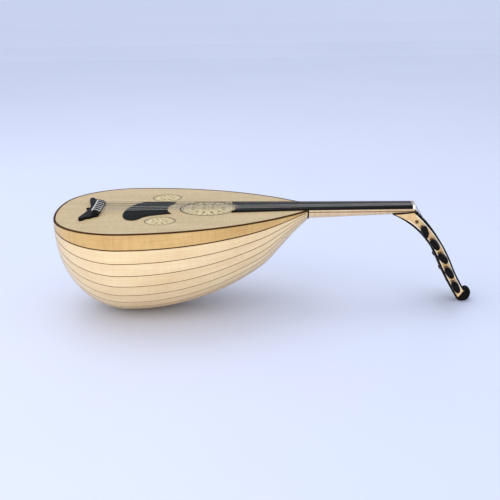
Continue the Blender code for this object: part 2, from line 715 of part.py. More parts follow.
def make_finial():
    """Black ball at the pegbox's end, flat where it is glued on; it touches the ground."""
    bm = bmesh.new()
    bmesh.ops.create_uvsphere(bm, u_segments=20, v_segments=12, radius=FINIAL_RADIUS)
    bmesh.ops.scale(bm, verts=bm.verts, vec=(1.0, FINIAL_WIDTH_SHARE, 1.0))
    finial = mesh_object("finial", bm)
    finial.location = (FINIAL_X, 0.0, FINIAL_RADIUS - BOWL_DEPTH)
    front_end = walk(*PEGBOX_FRONT, 0.012)[-1]
    back_end = walk(*PEGBOX_BACK, 0.012)[-1]
    along = math.atan2(front_end[1] - back_end[1], front_end[0] - back_end[0])
    outward = along - math.pi / 2
    bm = bmesh.new()
    bmesh.ops.create_cube(bm, size=SEAT_CUTTER_SIZE)
    block = mesh_object("finial_seat", bm)
    retreat = SEAT_CUTTER_SIZE / 2 - GAP
    block.location = ((front_end[0] + back_end[0]) / 2 - retreat * math.cos(outward), 0.0,
                      (front_end[1] + back_end[1]) / 2 - retreat * math.sin(outward))
    block.rotation_euler.y = -outward
    boolean(finial, cutter(block), "DIFFERENCE")
    smooth(finial)
    place(finial, material("finial_ebony", EBONY, 0.25))


def peg_profile(half_width):
    """Lathe profile of a peg, head end first: (radius, distance towards the head)."""
    collar = half_width + PEG_NECK_LENGTH
    width, length = PEG_HEAD_WIDTH / 2, PEG_HEAD_LENGTH
    head = ((0.0, 1.0), (0.45, 0.97), (0.80, 0.82), (1.0, 0.55), (0.86, 0.30), (0.50, 0.12))
    profile = [(radius * width, collar + share * length) for radius, share in head]
    shaft_end = collar - PEG_COLLAR_LENGTH
    profile += [(PEG_COLLAR_RADIUS, collar), (PEG_COLLAR_RADIUS - 0.0004, collar - 0.0020),
                (peg_radius(half_width, shaft_end), shaft_end)]
    tip = -half_width - PEG_TIP_PROUD
    profile += [(peg_radius(half_width, tip), tip), (0.0, tip - 0.0006)]
    return profile


def make_peg(index, x, z):
    """Turned peg whose head is flattened to a thumb piece; its origin is on its axis."""
    half_width = pegbox_half_width(x, z)
    name = f"peg_{index + 1:02d}"
    mesh = bpy.data.meshes.new(name + "_profile")
    profile = [(radius, 0.0, place) for radius, place in peg_profile(half_width)]
    mesh.from_pydata(profile, [(i, i + 1) for i in range(len(profile) - 1)], [])
    turned = bpy.data.objects.new(name, mesh)
    screw = turned.modifiers.new("turned", "SCREW")
    screw.steps = 12
    screw.render_steps = 12
    screw.use_merge_vertices = True
    screw.merge_threshold = 0.00001
    peg = as_mesh(turned)
    collar = half_width + PEG_NECK_LENGTH
    for vert in peg.data.vertices:
        share = min(1.0, max(0.0, (vert.co.z - collar) / (0.3 * PEG_HEAD_LENGTH)))
        vert.co.y *= 1 + (PEG_HEAD_THICKNESS / PEG_HEAD_WIDTH - 1) * share
    smooth(peg, 50)
    peg.location = (x, 0.0, z)
    peg.rotation_euler = (-peg_side(index) * math.pi / 2, math.radians(PEG_TURNS[index]), 0.0)
    place(peg, material("peg_rosewood", ROSEWOOD, 0.3))


# ---------------------------------------------------------------- the strings
def string_y(index, spread_half, pair_half_gap):
    """Place of a string across the instrument: five pairs from the treble side, one single."""
    course, second = divmod(index, 2)
    y = -spread_half + course * 2 * spread_half / 5
    if index == PEG_COUNT - 1:
        return y
    return y + (pair_half_gap if second else -pair_half_gap)


def string_peg(index):
    """Peg of a string, so that outer strings go to the pegs furthest from the nut."""
    treble_pegs = PEG_COUNT // 2
    if index < treble_pegs:
        return 2 * (treble_pegs - 1 - index) + 1
    return 2 * (index - treble_pegs)


def taut_route(start, places, target, winding_radius):
    """Side view of a string from the nut over the pegs in front of its own, as if pulled."""
    route = [start]
    clear = PEG_HEAD_RADIUS + 4 * STRING_RADIUS
    for before, here in zip(places[:target], places[1:target + 1]):
        dx, dz = here[0] - before[0], here[1] - before[1]
        size = math.hypot(dx, dz)
        route.append((before[0] - clear * dz / size, before[1] + clear * dx / size))
    centre = places[target]
    hull = []
    for point in route + [centre]:
        while len(hull) > 1 and turn_of(hull[-2], hull[-1], point) > 0:
            hull.pop()
        hull.append(point)
    hull.pop()
    dx, dz = hull[-1][0] - centre[0], hull[-1][1] - centre[1]
    touch = math.atan2(dz, dx) - math.acos(winding_radius / math.hypot(dx, dz))
    return hull, touch


def turn_of(a, b, c):
    """Positive when the path a, b, c turns left."""
    return (b[0] - a[0]) * (c[1] - b[1]) - (b[1] - a[1]) * (c[0] - b[0])


def make_string(index):
    """Knot behind the bridge, straight run to the nut, then down to the peg and round it."""
    name = f"string_{index + 1:02d}"
    bridge_y = string_y(index, COURSE_SPREAD_BRIDGE, PAIR_HALF_GAP_BRIDGE)
    nut_y = string_y(index, COURSE_SPREAD_NUT, PAIR_HALF_GAP_NUT)
    back = BRIDGE_X - BRIDGE_WIDTH / 2
    nut_z = NUT_TOP + GAP + STRING_RADIUS
    points = [(back - 0.0042, bridge_y, TIE_HEIGHT, 1.0), (back - 0.0034, bridge_y, TIE_HEIGHT, 2.6),
              (back - 0.0018, bridge_y, TIE_HEIGHT, 2.6), (back - 0.0010, bridge_y, TIE_HEIGHT, 1.0),
              (BRIDGE_X + BRIDGE_WIDTH / 2, bridge_y, TIE_HEIGHT, 1.0),
              (NECK_LENGTH - NUT_LENGTH, nut_y, nut_z, 1.0), (NECK_LENGTH, nut_y, nut_z, 1.0)]

    places = peg_places()
    target = string_peg(index)
    x, z = places[target]
    half_width = pegbox_half_width(x, z)
    lane = nut_y * (half_width - CHEEK_THICKNESS - 0.0015) / (NUT_HALF_WIDTH - CHEEK_THICKNESS)
    radius = peg_radius(half_width, peg_side(target) * lane) + GAP + STRING_RADIUS
    radius /= math.cos(math.pi / WINDING_SIDES)
    hull, touch = taut_route((NECK_LENGTH + 0.0006, nut_z - 0.0005), places, target, radius)
    first = (x + radius * math.cos(touch), z + radius * math.sin(touch))
    run = hull + [first]
    lengths = [math.dist(a, b) for a, b in zip(run, run[1:])]
    done = 0.0
    for (px, pz), step in zip(run, lengths + [0.0]):
        points.append((px, nut_y + (lane - nut_y) * done / sum(lengths), pz, 1.0))
        done += step
    towards_middle = -1 if lane > 0 else 1
    count = round(WINDING_TURNS * WINDING_SIDES)
    for i in range(1, count + 1):
        angle = touch - 2 * math.pi * i / WINDING_SIDES
        points.append((x + radius * math.cos(angle),
                       lane + towards_middle * WINDING_PITCH * i / WINDING_SIDES,
                       z + radius * math.sin(angle), 1.0))

    curve = bpy.data.curves.new(name, "CURVE")
    curve.dimensions = "3D"
    curve.bevel_depth = STRING_RADIUS
    curve.bevel_resolution = 1
    curve.use_fill_caps = True
    spline = curve.splines.new("POLY")
    spline.points.add(len(points) - 1)
    for point, (px, py, pz, thickness) in zip(spline.points, points):
        point.co = (px, py, pz, 1.0)
        point.radius = thickness
    place(bpy.data.objects.new(name, curve), material("string_nylon", NYLON, 0.3))


# ---------------------------------------------------------------- the whole instrument
make_ribs()
make_blocks()
make_tail_cap()
make_braces()
make_soundboard()
make_rosettes()
make_pickguard()
make_bridge()
make_neck()
make_fingerboard()
make_pegbox()
make_finial()
for number, (peg_x, peg_z) in enumerate(peg_places()):
    make_peg(number, peg_x, peg_z)
for number in range(PEG_COUNT):
    make_string(number)
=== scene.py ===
"""Looks of an eleven-string oud lying on its bowl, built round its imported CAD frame.

Metres, +Z up. Shapes are drawn from DATUM, where neck and body join at the height of the
soundboard's top, with +X towards the nut, the bass side at +Y and the treble side at -Y.
"""
import json
import math

import bmesh
import bpy
from mathutils import Matrix, Vector


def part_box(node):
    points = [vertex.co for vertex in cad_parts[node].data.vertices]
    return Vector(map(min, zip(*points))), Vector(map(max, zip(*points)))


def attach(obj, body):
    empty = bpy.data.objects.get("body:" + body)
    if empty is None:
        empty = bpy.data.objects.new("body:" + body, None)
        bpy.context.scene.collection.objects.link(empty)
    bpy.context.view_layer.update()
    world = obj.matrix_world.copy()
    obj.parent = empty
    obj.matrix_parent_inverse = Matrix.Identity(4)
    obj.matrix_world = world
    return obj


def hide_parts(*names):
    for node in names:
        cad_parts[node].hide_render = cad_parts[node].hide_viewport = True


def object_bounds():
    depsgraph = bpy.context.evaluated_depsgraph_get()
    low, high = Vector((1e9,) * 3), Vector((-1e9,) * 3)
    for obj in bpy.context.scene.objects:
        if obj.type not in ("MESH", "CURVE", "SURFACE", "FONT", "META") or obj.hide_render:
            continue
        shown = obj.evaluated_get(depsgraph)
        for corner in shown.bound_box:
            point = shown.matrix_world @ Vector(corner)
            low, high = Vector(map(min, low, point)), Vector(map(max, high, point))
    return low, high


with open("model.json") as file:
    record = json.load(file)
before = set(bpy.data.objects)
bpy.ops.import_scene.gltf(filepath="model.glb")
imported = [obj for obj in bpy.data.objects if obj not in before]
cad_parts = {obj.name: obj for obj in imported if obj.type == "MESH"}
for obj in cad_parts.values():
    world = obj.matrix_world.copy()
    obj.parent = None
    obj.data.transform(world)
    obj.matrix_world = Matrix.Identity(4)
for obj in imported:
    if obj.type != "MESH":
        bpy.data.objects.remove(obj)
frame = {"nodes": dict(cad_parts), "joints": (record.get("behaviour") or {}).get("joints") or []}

CAD_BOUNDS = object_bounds()
RING_LOW, RING_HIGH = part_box("neck_ring")
DATUM = Vector(((RING_LOW.x + RING_HIGH.x) / 2, 0.0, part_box("soundboard")[1].z))

# ---------------------------------------------------------------- driving dimensions
BODY_HALF_WIDTH = 0.1755
BODY_WIDEST_X = -0.334
BOWL_DEPTH = DATUM.z - CAD_BOUNDS[0].z
TAIL_RADIUS = 0.350           # the outline's three arcs
SHOULDER_RADIUS = 0.1364
FLANK_RADIUS = 0.450
RIB_THICKNESS = 0.003
RIB_COUNT = 21
EDGE_RIB_SHARE = 1.12         # girth of an edge rib over that of any other
REST_HALF_LENGTH = 0.010      # the lowest rib is level this far each way of the widest place
TIP_HALF_WIDTH = 0.020
RIB_GAP = 0.0003              # clearance that the lowest rib's level height is reckoned with
RIB_CROWN = 0.35              # how far a rib bulges from flat towards the true skin
PURFLING_WIDTH = 0.00135
RIM_PURFLING_WIDTH = 0.0021   # of the strip under each edge rib
PURFLING_FULL_FROM = 0.120    # half width of the body from which a strip has its full width
NECK_BLEND_LENGTH = 0.090     # the bowl takes the neck's section over this length
PLANK_SHIFT = (0.77, 0.19)    # how far apart the grain of two neighbouring ribs is read
CAP_RIM_ANGLE = 0.12          # the tail cap stops this short of the rim, in radians

BOARD_THICKNESS = 0.0024
BINDING_WIDTH = 0.0040
BINDING_DEPTH = 0.0020        # the edge ribs rise to its underside
BINDING_PROUD = 0.00035       # it stands this far above the soundboard
FOOT_GAP = 0.00002            # between a glued piece's underside and the face it lies on
ROSETTE_X = -0.187
ROSETTE_RADIUS = 0.0475
ROSETTE_RING_RADIUS = 0.0540
SMALL_ROSETTE_X = -0.271
SMALL_ROSETTE_Y = 0.0875
SMALL_ROSETTE_RADIUS = 0.0255
SMALL_RING_RADIUS = 0.0286
RING_DARK_SHARE = 0.46        # of a rosette's ring, outermost
RING_LINE_SHARE = 0.14        # of a rosette's ring, innermost
RING_GAP = 0.00005
GUARD_THICKNESS = 0.0011
GUARD_HOLLOW_RADIUS = 0.077
GUARD_SMALL_HOLLOW_RADIUS = 0.042

NECK_LENGTH = 0.200
JOINT_HALF_WIDTH = 0.0271
JOINT_DEPTH = 0.0212
NECK_END_DEPTH = 0.0160       # below the soundboard, where the neck's straight back ends
NECK_STRAIGHT_END = 0.150
STRIPE_DEPTH = 0.0026         # top of the brown strip, at the joint
STRIPE_FALL = 0.0010          # it lies this much deeper where the straight back ends
STRIPE_WIDTH = 0.0021
STRIPE_NARROWING = 0.0005
NUT_HALF_WIDTH = 0.0187
SCARF_START = (0.158, -0.0124)
SCARF_END = (0.200, -0.0078)
RING_THICKNESS = 0.0024
FINGERBOARD_TOP = 0.0035
FINGERBOARD_SINK = 0.0024     # its underside is this much lower at the nut than at the joint
FINGERBOARD_END_HALF_WIDTH = 0.0350
FINGERBOARD_END_RADIUS = 0.0560
NUT_LENGTH = 0.0045
NUT_TOP = 0.0050

BRIDGE_X = -0.394
BRIDGE_HALF_LENGTH = 0.040
BRIDGE_WIDTH = 0.013
BRIDGE_FRONT = BRIDGE_X + BRIDGE_WIDTH / 2
BRIDGE_BACK = BRIDGE_X - BRIDGE_WIDTH / 2
BRIDGE_HEIGHT = 0.0100
BRIDGE_ARM_HEIGHT = 0.0045
TIE_HEIGHT = 0.0072
BLOCK_FALL = 0.0042           # the tie block is this much lower in front
CURL_PLACE = (-0.4163, 0.0758)
CURL_RADIUS = 0.0021
TIE_RADIUS = 0.00030
TIE_CLOSING = 0.38            # share of the gap to its partner that a tie leans across

STRING_COUNT = 11
AT_BRIDGE = (0.0330, 0.0019)  # half spread of the courses, half gap of a pair
AT_NUT = (0.0138, 0.0010)
STRING_RADII = (0.00023, 0.00027, 0.00031, 0.00028, 0.00032, 0.00037)   # by course, treble first
FIRST_WOUND_COURSE = 3         # counted from 0 on the treble side
WINDING_TURNS = 3.5
WINDING_PITCH = 2.15           # in radii of the string
WINDING_MARGIN = 0.0015        # the outer windings keep this far from the cheeks
STRING_CLEARANCE = 0.0017      # between a shaft and a string that passes over it

PEGBOX_FRONT = ((0.2005, -0.0081), -42.0, ((0.127, -26.5), (0.060, 10.5)))
PEGBOX_BACK = ((0.158, -0.0127), -24.6, ((0.124, -42.6), (0.094, 8.0)))
PEGBOX_TAPER = 0.0352
PEGBOX_TAPER_FROM = (0.2005, -0.008)
PEGBOX_TAPER_HEADING = -57.0
CHEEK_THICKNESS = 0.0036
PEGBOX_FLOOR = 0.0032
SPINE_THICKNESS = 0.0040       # dark band down the pegbox's back
TROUGH_END = 0.1875
FRONT_BINDING_DEPTH = 0.0030
LIGHT_LINE_HALF_WIDTH = 0.0008
LIGHT_LINE_SPAN = (0.004, 0.181)       # distances along the pegbox

PEG_BORE_GAP = 0.0002
PEG_HEAD_RADIUS = 0.0042       # of the shaft where it enters the cheek on the head's side
PEG_TIP_RADIUS = 0.0033
PEG_NECK_LENGTH = 0.020
PEG_HEAD_LENGTH = 0.024
PEG_HEAD_WIDTH = 0.0235
PEG_HEAD_THICKNESS = 0.0150
PEG_HEAD_HOLLOW = 0.10         # share of its thickness that a head's faces sink
PEG_TIP_PROJECTION = 0.0012
COLLAR_RADIUS = 0.0052
COLLAR_EDGE_RADIUS = 0.0046
PEG_TURNS = (30, 78, 100, 50, 165, 45, 160, 55, 170, 62, 20)
PEG_PLACES = [(joint["pos_m"][0] - DATUM.x, joint["pos_m"][2] - DATUM.z)
              for joint in frame["joints"]]
SIDES = ((-1, "near"), (1, "far"))


# ---------------------------------------------------------------- shader helpers
def plug(tree, socket, value):
    """Link a socket or set its own value."""
    if isinstance(value, bpy.types.NodeSocket):
        tree.links.new(value, socket)
    elif isinstance(value, tuple) and len(value) == 3 and socket.type == "RGBA":
        socket.default_value = (*value, 1.0)
    else:
        socket.default_value = value


def add(tree, kind, inputs, **settings):
    """Add a shader node with settings and inputs."""
    made = tree.nodes.new(kind)
    for key, value in settings.items():
        setattr(made, key, value)
    for key, value in inputs.items():
        plug(tree, made.inputs[key], value)
    return made


def mix(tree, factor, a, b, blend="MIX"):
    """Mix two colours."""
    made = tree.nodes.new("ShaderNodeMix")
    made.data_type = "RGBA"
    made.blend_type = blend
    plug(tree, made.inputs[0], factor)
    plug(tree, made.inputs[6], a)
    plug(tree, made.inputs[7], b)
    return made.outputs[2]


def noise(tree, coordinate, scale, detail, distortion=0.0):
    """Noise stretched by a scale for each axis, in waves per metre."""
    stretched = add(tree, "ShaderNodeMapping", {"Vector": coordinate, "Scale": scale})
    made = add(tree, "ShaderNodeTexNoise", {"Vector": stretched.outputs[0], "Scale": 1.0,
                                            "Detail": detail, "Distortion": distortion})
    return made.outputs["Fac"]


def remap(tree, value, low, high, to_low=0.0, to_high=1.0):
    """Stretch a value range."""
    made = add(tree, "ShaderNodeMapRange", {"Value": value, "From Min": low, "From Max": high,
                                            "To Min": to_low, "To Max": to_high})
    return made.outputs["Result"]


def maths(tree, operation, a, b=0.0):
    """One Math node."""
    made = tree.nodes.new("ShaderNodeMath")
    made.operation = operation
    plug(tree, made.inputs[0], a)
    plug(tree, made.inputs[1], b)
    return made.outputs[0]


def start(name):
    """A new material: its node tree and its Principled shader."""
    made = bpy.data.materials.new(name)
    made.use_nodes = True
    return made, made.node_tree, made.node_tree.nodes["Principled BSDF"]


def coordinates(tree, source):
    """Where a texture is read: the Grain map of a bent piece, or the object's own metres."""
    if source == "Grain":
        return add(tree, "ShaderNodeUVMap", {}, uv_map="Grain").outputs[0]
    return tree.nodes.new("ShaderNodeTexCoord").outputs["Object"]


def finish_shader(tree, shader, colour, roughness, height, depth, coat, coat_roughness=0.12,
                  shine=0.5):
    """Plug colour, roughness and relief into a shader that may have a lacquer coat."""
    shader.inputs["Specular IOR Level"].default_value = shine
    plug(tree, shader.inputs["Base Color"], colour)
    plug(tree, shader.inputs["Roughness"], roughness)
    bump = add(tree, "ShaderNodeBump", {"Height": height, "Strength": 1.0, "Distance": depth})
    tree.links.new(bump.outputs[0], shader.inputs["Normal"])
    shader.inputs["Coat Weight"].default_value = coat
    shader.inputs["Coat Roughness"].default_value = coat_roughness


# ---------------------------------------------------------------- materials
def maple(name, pale, deep, source, flame):
    """Lacquered maple: flame across the grain, fine streaks along it and short dark flecks."""
    made, tree, shader = start(name)
    where = coordinates(tree, source)
    curl = noise(tree, where, (150.0, 22.0, 60.0), 2.0, 0.8)
    streak = noise(tree, where, (9.0, 900.0, 900.0), 4.0)
    cloud = noise(tree, where, (9.0, 26.0, 26.0), 2.0)
    fleck = noise(tree, where, (420.0, 4200.0, 4200.0), 1.0)
    colour = mix(tree, remap(tree, cloud, 0.3, 0.7), pale, deep)
    colour = mix(tree, remap(tree, curl, 0.42, 0.64, 0.0, flame), colour, deep, "MULTIPLY")
    colour = mix(tree, remap(tree, streak, 0.48, 0.78, 0.0, 0.5), colour, deep, "MULTIPLY")
    brown = tuple(0.55 * part for part in deep)
    colour = mix(tree, remap(tree, fleck, 0.66, 0.78, 0.0, 0.5), colour, brown)
    rough = remap(tree, streak, 0.3, 0.7, 0.34, 0.44)
    relief = mix(tree, 0.35, streak, curl)
    finish_shader(tree, shader, colour, rough, relief, 0.00006, 0.35)
    return made


def spruce(name, pale, late, contrast=0.55):
    """Soundboard spruce: two matched halves of straight grain lines with silk across them."""
    made, tree, shader = start(name)
    where = coordinates(tree, "Object")
    axes = add(tree, "ShaderNodeSeparateXYZ", {"Vector": where})
    sway = noise(tree, where, (3.0, 9.0, 9.0), 2.0)
    folded = maths(tree, "ABSOLUTE", axes.outputs["Y"])
    swayed = maths(tree, "ADD", folded, remap(tree, sway, 0.0, 1.0, -0.006, 0.006))
    phase = maths(tree, "MULTIPLY", maths(tree, "POWER", swayed, 0.93), 2 * math.pi / 0.0021)
    ring = maths(tree, "SINE", phase)
    line = remap(tree, ring, 0.1, 1.0)
    fibre = noise(tree, where, (14.0, 1700.0, 1700.0), 3.0)
    silk = noise(tree, where, (260.0, 30.0, 30.0), 2.0, 0.6)
    cloud = noise(tree, where, (5.0, 34.0, 20.0), 3.0)
    colour = mix(tree, remap(tree, cloud, 0.32, 0.68, 0.0, 0.75), pale, late)
    colour = mix(tree, maths(tree, "MULTIPLY", line, contrast), colour, late, "MULTIPLY")
    colour = mix(tree, remap(tree, fibre, 0.45, 0.75, 0.0, 0.4), colour, late, "MULTIPLY")
    bright = tuple(min(1.0, 1.12 * part) for part in pale)
    colour = mix(tree, remap(tree, silk, 0.52, 0.70, 0.0, 0.35), colour, bright)
    rough = remap(tree, fibre, 0.3, 0.7, 0.46, 0.58)
    relief = mix(tree, 0.4, line, fibre)
    finish_shader(tree, shader, colour, rough, relief, 0.00004, 0.06, 0.3)
    return made


def dark_wood(name, deep, streak_colour, source, roughness, shine, contrast=0.6):
    """Ebony or rosewood: long streaks, short open pores and a hand-polished surface."""
    made, tree, shader = start(name)
    where = coordinates(tree, source)
    streak = noise(tree, where, (16.0, 520.0, 520.0), 4.0, 0.3)
    pore = noise(tree, where, (300.0, 3600.0, 3600.0), 1.0)
    smear = noise(tree, where, (38.0, 38.0, 38.0), 3.0)
    colour = mix(tree, remap(tree, streak, 0.45, 0.72, 0.0, contrast), deep, streak_colour)
    pore_colour = tuple(0.35 * part for part in deep)
    colour = mix(tree, remap(tree, pore, 0.62, 0.74, 0.0, 0.8), colour, pore_colour)
    rough = remap(tree, smear, 0.3, 0.7, roughness - 0.05, roughness + 0.09)
    relief = maths(tree, "SUBTRACT", maths(tree, "MULTIPLY", streak, 0.4),
                   remap(tree, pore, 0.6, 0.8))
    finish_shader(tree, shader, colour, rough, relief, 0.00005, 0.0, shine=shine)
    return made


def bone(name, pale, shade):
    """Polished bone with faint mottling and tiny pits."""
    made, tree, shader = start(name)
    where = coordinates(tree, "Object")
    cloud = noise(tree, where, (240.0, 90.0, 240.0), 3.0)
    pit = noise(tree, where, (2600.0, 2600.0, 2600.0), 1.0)
    colour = mix(tree, remap(tree, cloud, 0.35, 0.7), pale, shade)
    colour = mix(tree, remap(tree, pit, 0.66, 0.78, 0.0, 0.5), colour, shade, "MULTIPLY")
    rough = remap(tree, cloud, 0.3, 0.7, 0.28, 0.38)
    finish_shader(tree, shader, colour, rough, pit, 0.00002, 0.2)
    return made


def nylon(name, tint, clearness):
    """Nylon string, slightly cloudy."""
    made, tree, shader = start(name)
    where = coordinates(tree, "Grain")
    cloud = noise(tree, where, (60.0, 900.0, 900.0), 2.0)
    shade = tuple(0.86 * part for part in tint)
    colour = mix(tree, remap(tree, cloud, 0.3, 0.7), tint, shade)
    rough = remap(tree, cloud, 0.3, 0.7, 0.42, 0.55)
    finish_shader(tree, shader, colour, rough, cloud, 0.00001, 0.0)
    shader.inputs["Transmission Weight"].default_value = clearness
    shader.inputs["IOR"].default_value = 1.53
    return made


def wound(name, bright, shade):
    """Silvered wire wound round a silk core, one turn every third of a millimetre, with painted
    shade in the grooves between turns.
    """
    made, tree, shader = start(name)
    where = coordinates(tree, "Grain")
    axes = add(tree, "ShaderNodeSeparateXYZ", {"Vector": where})
    turns = maths(tree, "SINE", maths(tree, "MULTIPLY", axes.outputs["X"], 2 * math.pi / 0.00033))
    dull = noise(tree, where, (45.0, 300.0, 300.0), 3.0)
    # Painted shade: the colour falls to the shade colour in the groove between two turns and rises
    # to the bright colour on each turn's crest.
    colour = mix(tree, remap(tree, turns, -1.0, 0.4), shade, bright)
    # Random dull patches of tarnish also lean towards the shade colour.
    colour = mix(tree, remap(tree, dull, 0.5, 0.75, 0.0, 0.5), colour, shade)
    rough = remap(tree, dull, 0.3, 0.7, 0.46, 0.60)
    finish_shader(tree, shader, colour, rough, turns, 0.00001, 0.0)
    shader.inputs["Metallic"].default_value = 0.4
    return made


def backdrop_paint(name, colour, shade):
    """Matt studio paper."""
    made, tree, shader = start(name)
    where = coordinates(tree, "Object")
    cloud = noise(tree, where, (1.3, 1.3, 1.3), 2.0)
    mixed = mix(tree, remap(tree, cloud, 0.3, 0.7), colour, shade)
    fibre = noise(tree, where, (900.0, 900.0, 900.0), 2.0)
    finish_shader(tree, shader, mixed, 0.55, fibre, 0.00002, 0.0)
    return made


RIB_FINISHES = [maple(f"rib_maple_{i}", pale, (0.76, 0.56, 0.31), "Grain", 0.10)
                for i, pale in enumerate(((0.85, 0.675, 0.395), (0.83, 0.650, 0.375),
                                          (0.86, 0.690, 0.415)))]
EDGE_RIB_FINISH = maple("edge_rib_maple", (0.66, 0.435, 0.155), (0.56, 0.34, 0.105), "Grain", 0.16)
BOARD_FINISH = spruce("soundboard_spruce", (0.64, 0.495, 0.270), (0.52, 0.385, 0.18))
INNER_FINISH = spruce("inner_spruce", (0.62, 0.48, 0.30), (0.46, 0.32, 0.17))
BINDING_FINISH = dark_wood("binding_rosewood", (0.055, 0.024, 0.008), (0.120, 0.054, 0.018),
                           "Grain", 0.42, 0.01)
PURFLING_FINISH = dark_wood("purfling_walnut", (0.150, 0.080, 0.035), (0.23, 0.13, 0.060),
                            "Grain", 0.45, 0.02)
RING_FINISH = dark_wood("ring_rosewood", (0.030, 0.016, 0.009), (0.07, 0.033, 0.016), "Object",
                        0.42, 0.02)
EBONY = dark_wood("ebony", (0.007, 0.007, 0.007), (0.018, 0.014, 0.011), "Object", 0.36, 0.012)
GRAIN_EBONY = dark_wood("grain_ebony", (0.008, 0.007, 0.007), (0.020, 0.014, 0.010), "Grain",
                        0.36, 0.012)
GUARD_FINISH = dark_wood("guard_ebony", (0.010, 0.012, 0.010), (0.018, 0.020, 0.017), "Object",
                         0.36, 0.006)
FINGERBOARD_FINISH = dark_wood("fingerboard_ebony", (0.010, 0.010, 0.010),
                               (0.024, 0.021, 0.018), "Object", 0.34, 0.012)
ROSEWOOD = dark_wood("peg_rosewood", (0.075, 0.026, 0.008), (0.18, 0.075, 0.022), "Object",
                     0.30, 0.35, 0.9)
NECK_FINISH = maple("neck_maple", (0.74, 0.575, 0.36), (0.64, 0.455, 0.25), "Grain", 0.25)
STRIPE_FINISH = dark_wood("neck_stripe_walnut", (0.17, 0.100, 0.050), (0.25, 0.155, 0.08),
                          "Grain", 0.34, 0.35)
PEGBOX_FINISH = maple("pegbox_maple", (0.80, 0.58, 0.30), (0.66, 0.42, 0.17), "Object", 0.35)
LIGHT_LINE = maple("holly_line", (0.90, 0.84, 0.70), (0.84, 0.75, 0.56), "Grain", 0.1)
FRET_FINISH = spruce("rosette_fretwork", (0.76, 0.645, 0.39), (0.62, 0.490, 0.25), 0.3)
BONE = bone("bone", (0.90, 0.87, 0.78), (0.80, 0.74, 0.60))
NYLON = nylon("nylon", (0.50, 0.485, 0.45), 0.45)
TIE_NYLON = nylon("tie_nylon", (0.93, 0.92, 0.89), 0.1)
# The second colour is the painted shade in the grooves between turns, and also the colour of the
# random tarnish.
WOUND = wound("silver_wound", (0.17, 0.165, 0.155), (0.07, 0.066, 0.062))


# ---------------------------------------------------------------- mesh helpers
def spread(first, last, count):
    """Evenly spaced values, both ends included."""
    return [first + (last - first) * i / count for i in range(count + 1)]


def circle(x, y, radius, count):
    """Points round a circle."""
    return [(x + radius * math.cos(a), y + radius * math.sin(a))
            for a in spread(0.0, 2 * math.pi, count)[:-1]]


def arc(x, y, radius, first, last, count):
    """Points along an arc, angles in degrees, both ends included."""
    return [(x + radius * math.cos(math.radians(a)), y + radius * math.sin(math.radians(a)))
            for a in spread(first, last, count)]


def through(points, count):
    """Smooth open path through points of any dimension, with count steps between two."""
    points = [Vector(p) for p in points]
    ends = [2 * points[0] - points[1]] + points + [2 * points[-1] - points[-2]]
    path = []
    for a, b, c, d in zip(ends, ends[1:], ends[2:], ends[3:]):
        for t in spread(0.0, 1.0, count)[:-1]:
            path.append(0.5 * (2 * b + (c - a) * t + (2 * a - 5 * b + 4 * c - d) * t ** 2
                               + (3 * b - a - 3 * c + d) * t ** 3))
    return path + [points[-1]]


def distances(points, closed=False):
    """Distance of each point along its path; a closed path gets its whole length at the end."""
    points = [Vector(p) for p in points]
    if closed:
        points = points + points[:1]
    run = [0.0]
    for a, b in zip(points, points[1:]):
        run.append(run[-1] + (b - a).length)
    return run


def mesh_object(name, bm):
    """Object from a bmesh, with its faces pointing out."""
    bmesh.ops.recalc_face_normals(bm, faces=bm.faces)
    mesh = bpy.data.meshes.new(name)
    bm.to_mesh(mesh)
    bm.free()
    return bpy.data.objects.new(name, mesh)


def loft(name, sections, closed=False, middle=0, shift=(0.0, 0.0), second=()):
    """Solid through loops of points, with a Grain map in metres along and round it.

    The map's second value is 0 at the loop's point number middle. The faces that start at
    the loop's points listed in second get the object's second material.
    """
    bm = bmesh.new()
    grain = bm.loops.layers.uv.new("Grain")
    rings = [[bm.verts.new(point) for point in section] for section in sections]
    count = len(sections[0])
    centres = [sum((Vector(p) for p in section), Vector()) / count for section in sections]
    along = distances(centres, closed)
    around = [distances(section, True) for section in sections]
    if closed:
        rings.append(rings[0])
        around.append(around[0])
    for i, (ring, following) in enumerate(zip(rings, rings[1:])):
        for j in range(count):
            k = (j + 1) % count
            face = bm.faces.new((ring[j], ring[k], following[k], following[j]))
            face.material_index = 1 if j in second else 0
            corners = ((i, j), (i, j + 1), (i + 1, j + 1), (i + 1, j))
            for loop, (a, b) in zip(face.loops, corners):
                across = around[a][b] - around[a][middle]
                loop[grain].uv = (along[a] + shift[0], across + shift[1])
    if not closed:
        bm.faces.new(rings[0])
        bm.faces.new(rings[-1])
    return mesh_object(name, bm)


def tube(name, points, radii, sides, closed=False):
    """Round rod along a path, with one radius or a list of them."""
    points = [Vector(p) for p in points]
    if not isinstance(radii, (list, tuple)):
        radii = [radii] * len(points)
    last = len(points) - 1
    tangents = []
    for i in range(len(points)):
        if closed:
            step = points[(i + 1) % len(points)] - points[i - 1]
        else:
            step = points[min(i + 1, last)] - points[max(i - 1, 0)]
        tangents.append(step.normalized())
    side = tangents[0].cross(Vector((0.0, 0.0, 1.0)))
    if side.length < 0.01:
        side = tangents[0].cross(Vector((0.0, 1.0, 0.0)))
    side.normalize()
    sections = []
    for i, (point, tangent, radius) in enumerate(zip(points, tangents, radii)):
        if i:
            side = tangents[i - 1].rotation_difference(tangent) @ side
        side = (side - tangent * side.dot(tangent)).normalized()
        up = side.cross(tangent)
        sections.append([point + radius * (side * math.cos(a) + up * math.sin(a))
                         for a in spread(0, 2 * math.pi, sides)[:-1]])
    return loft(name, sections, closed)


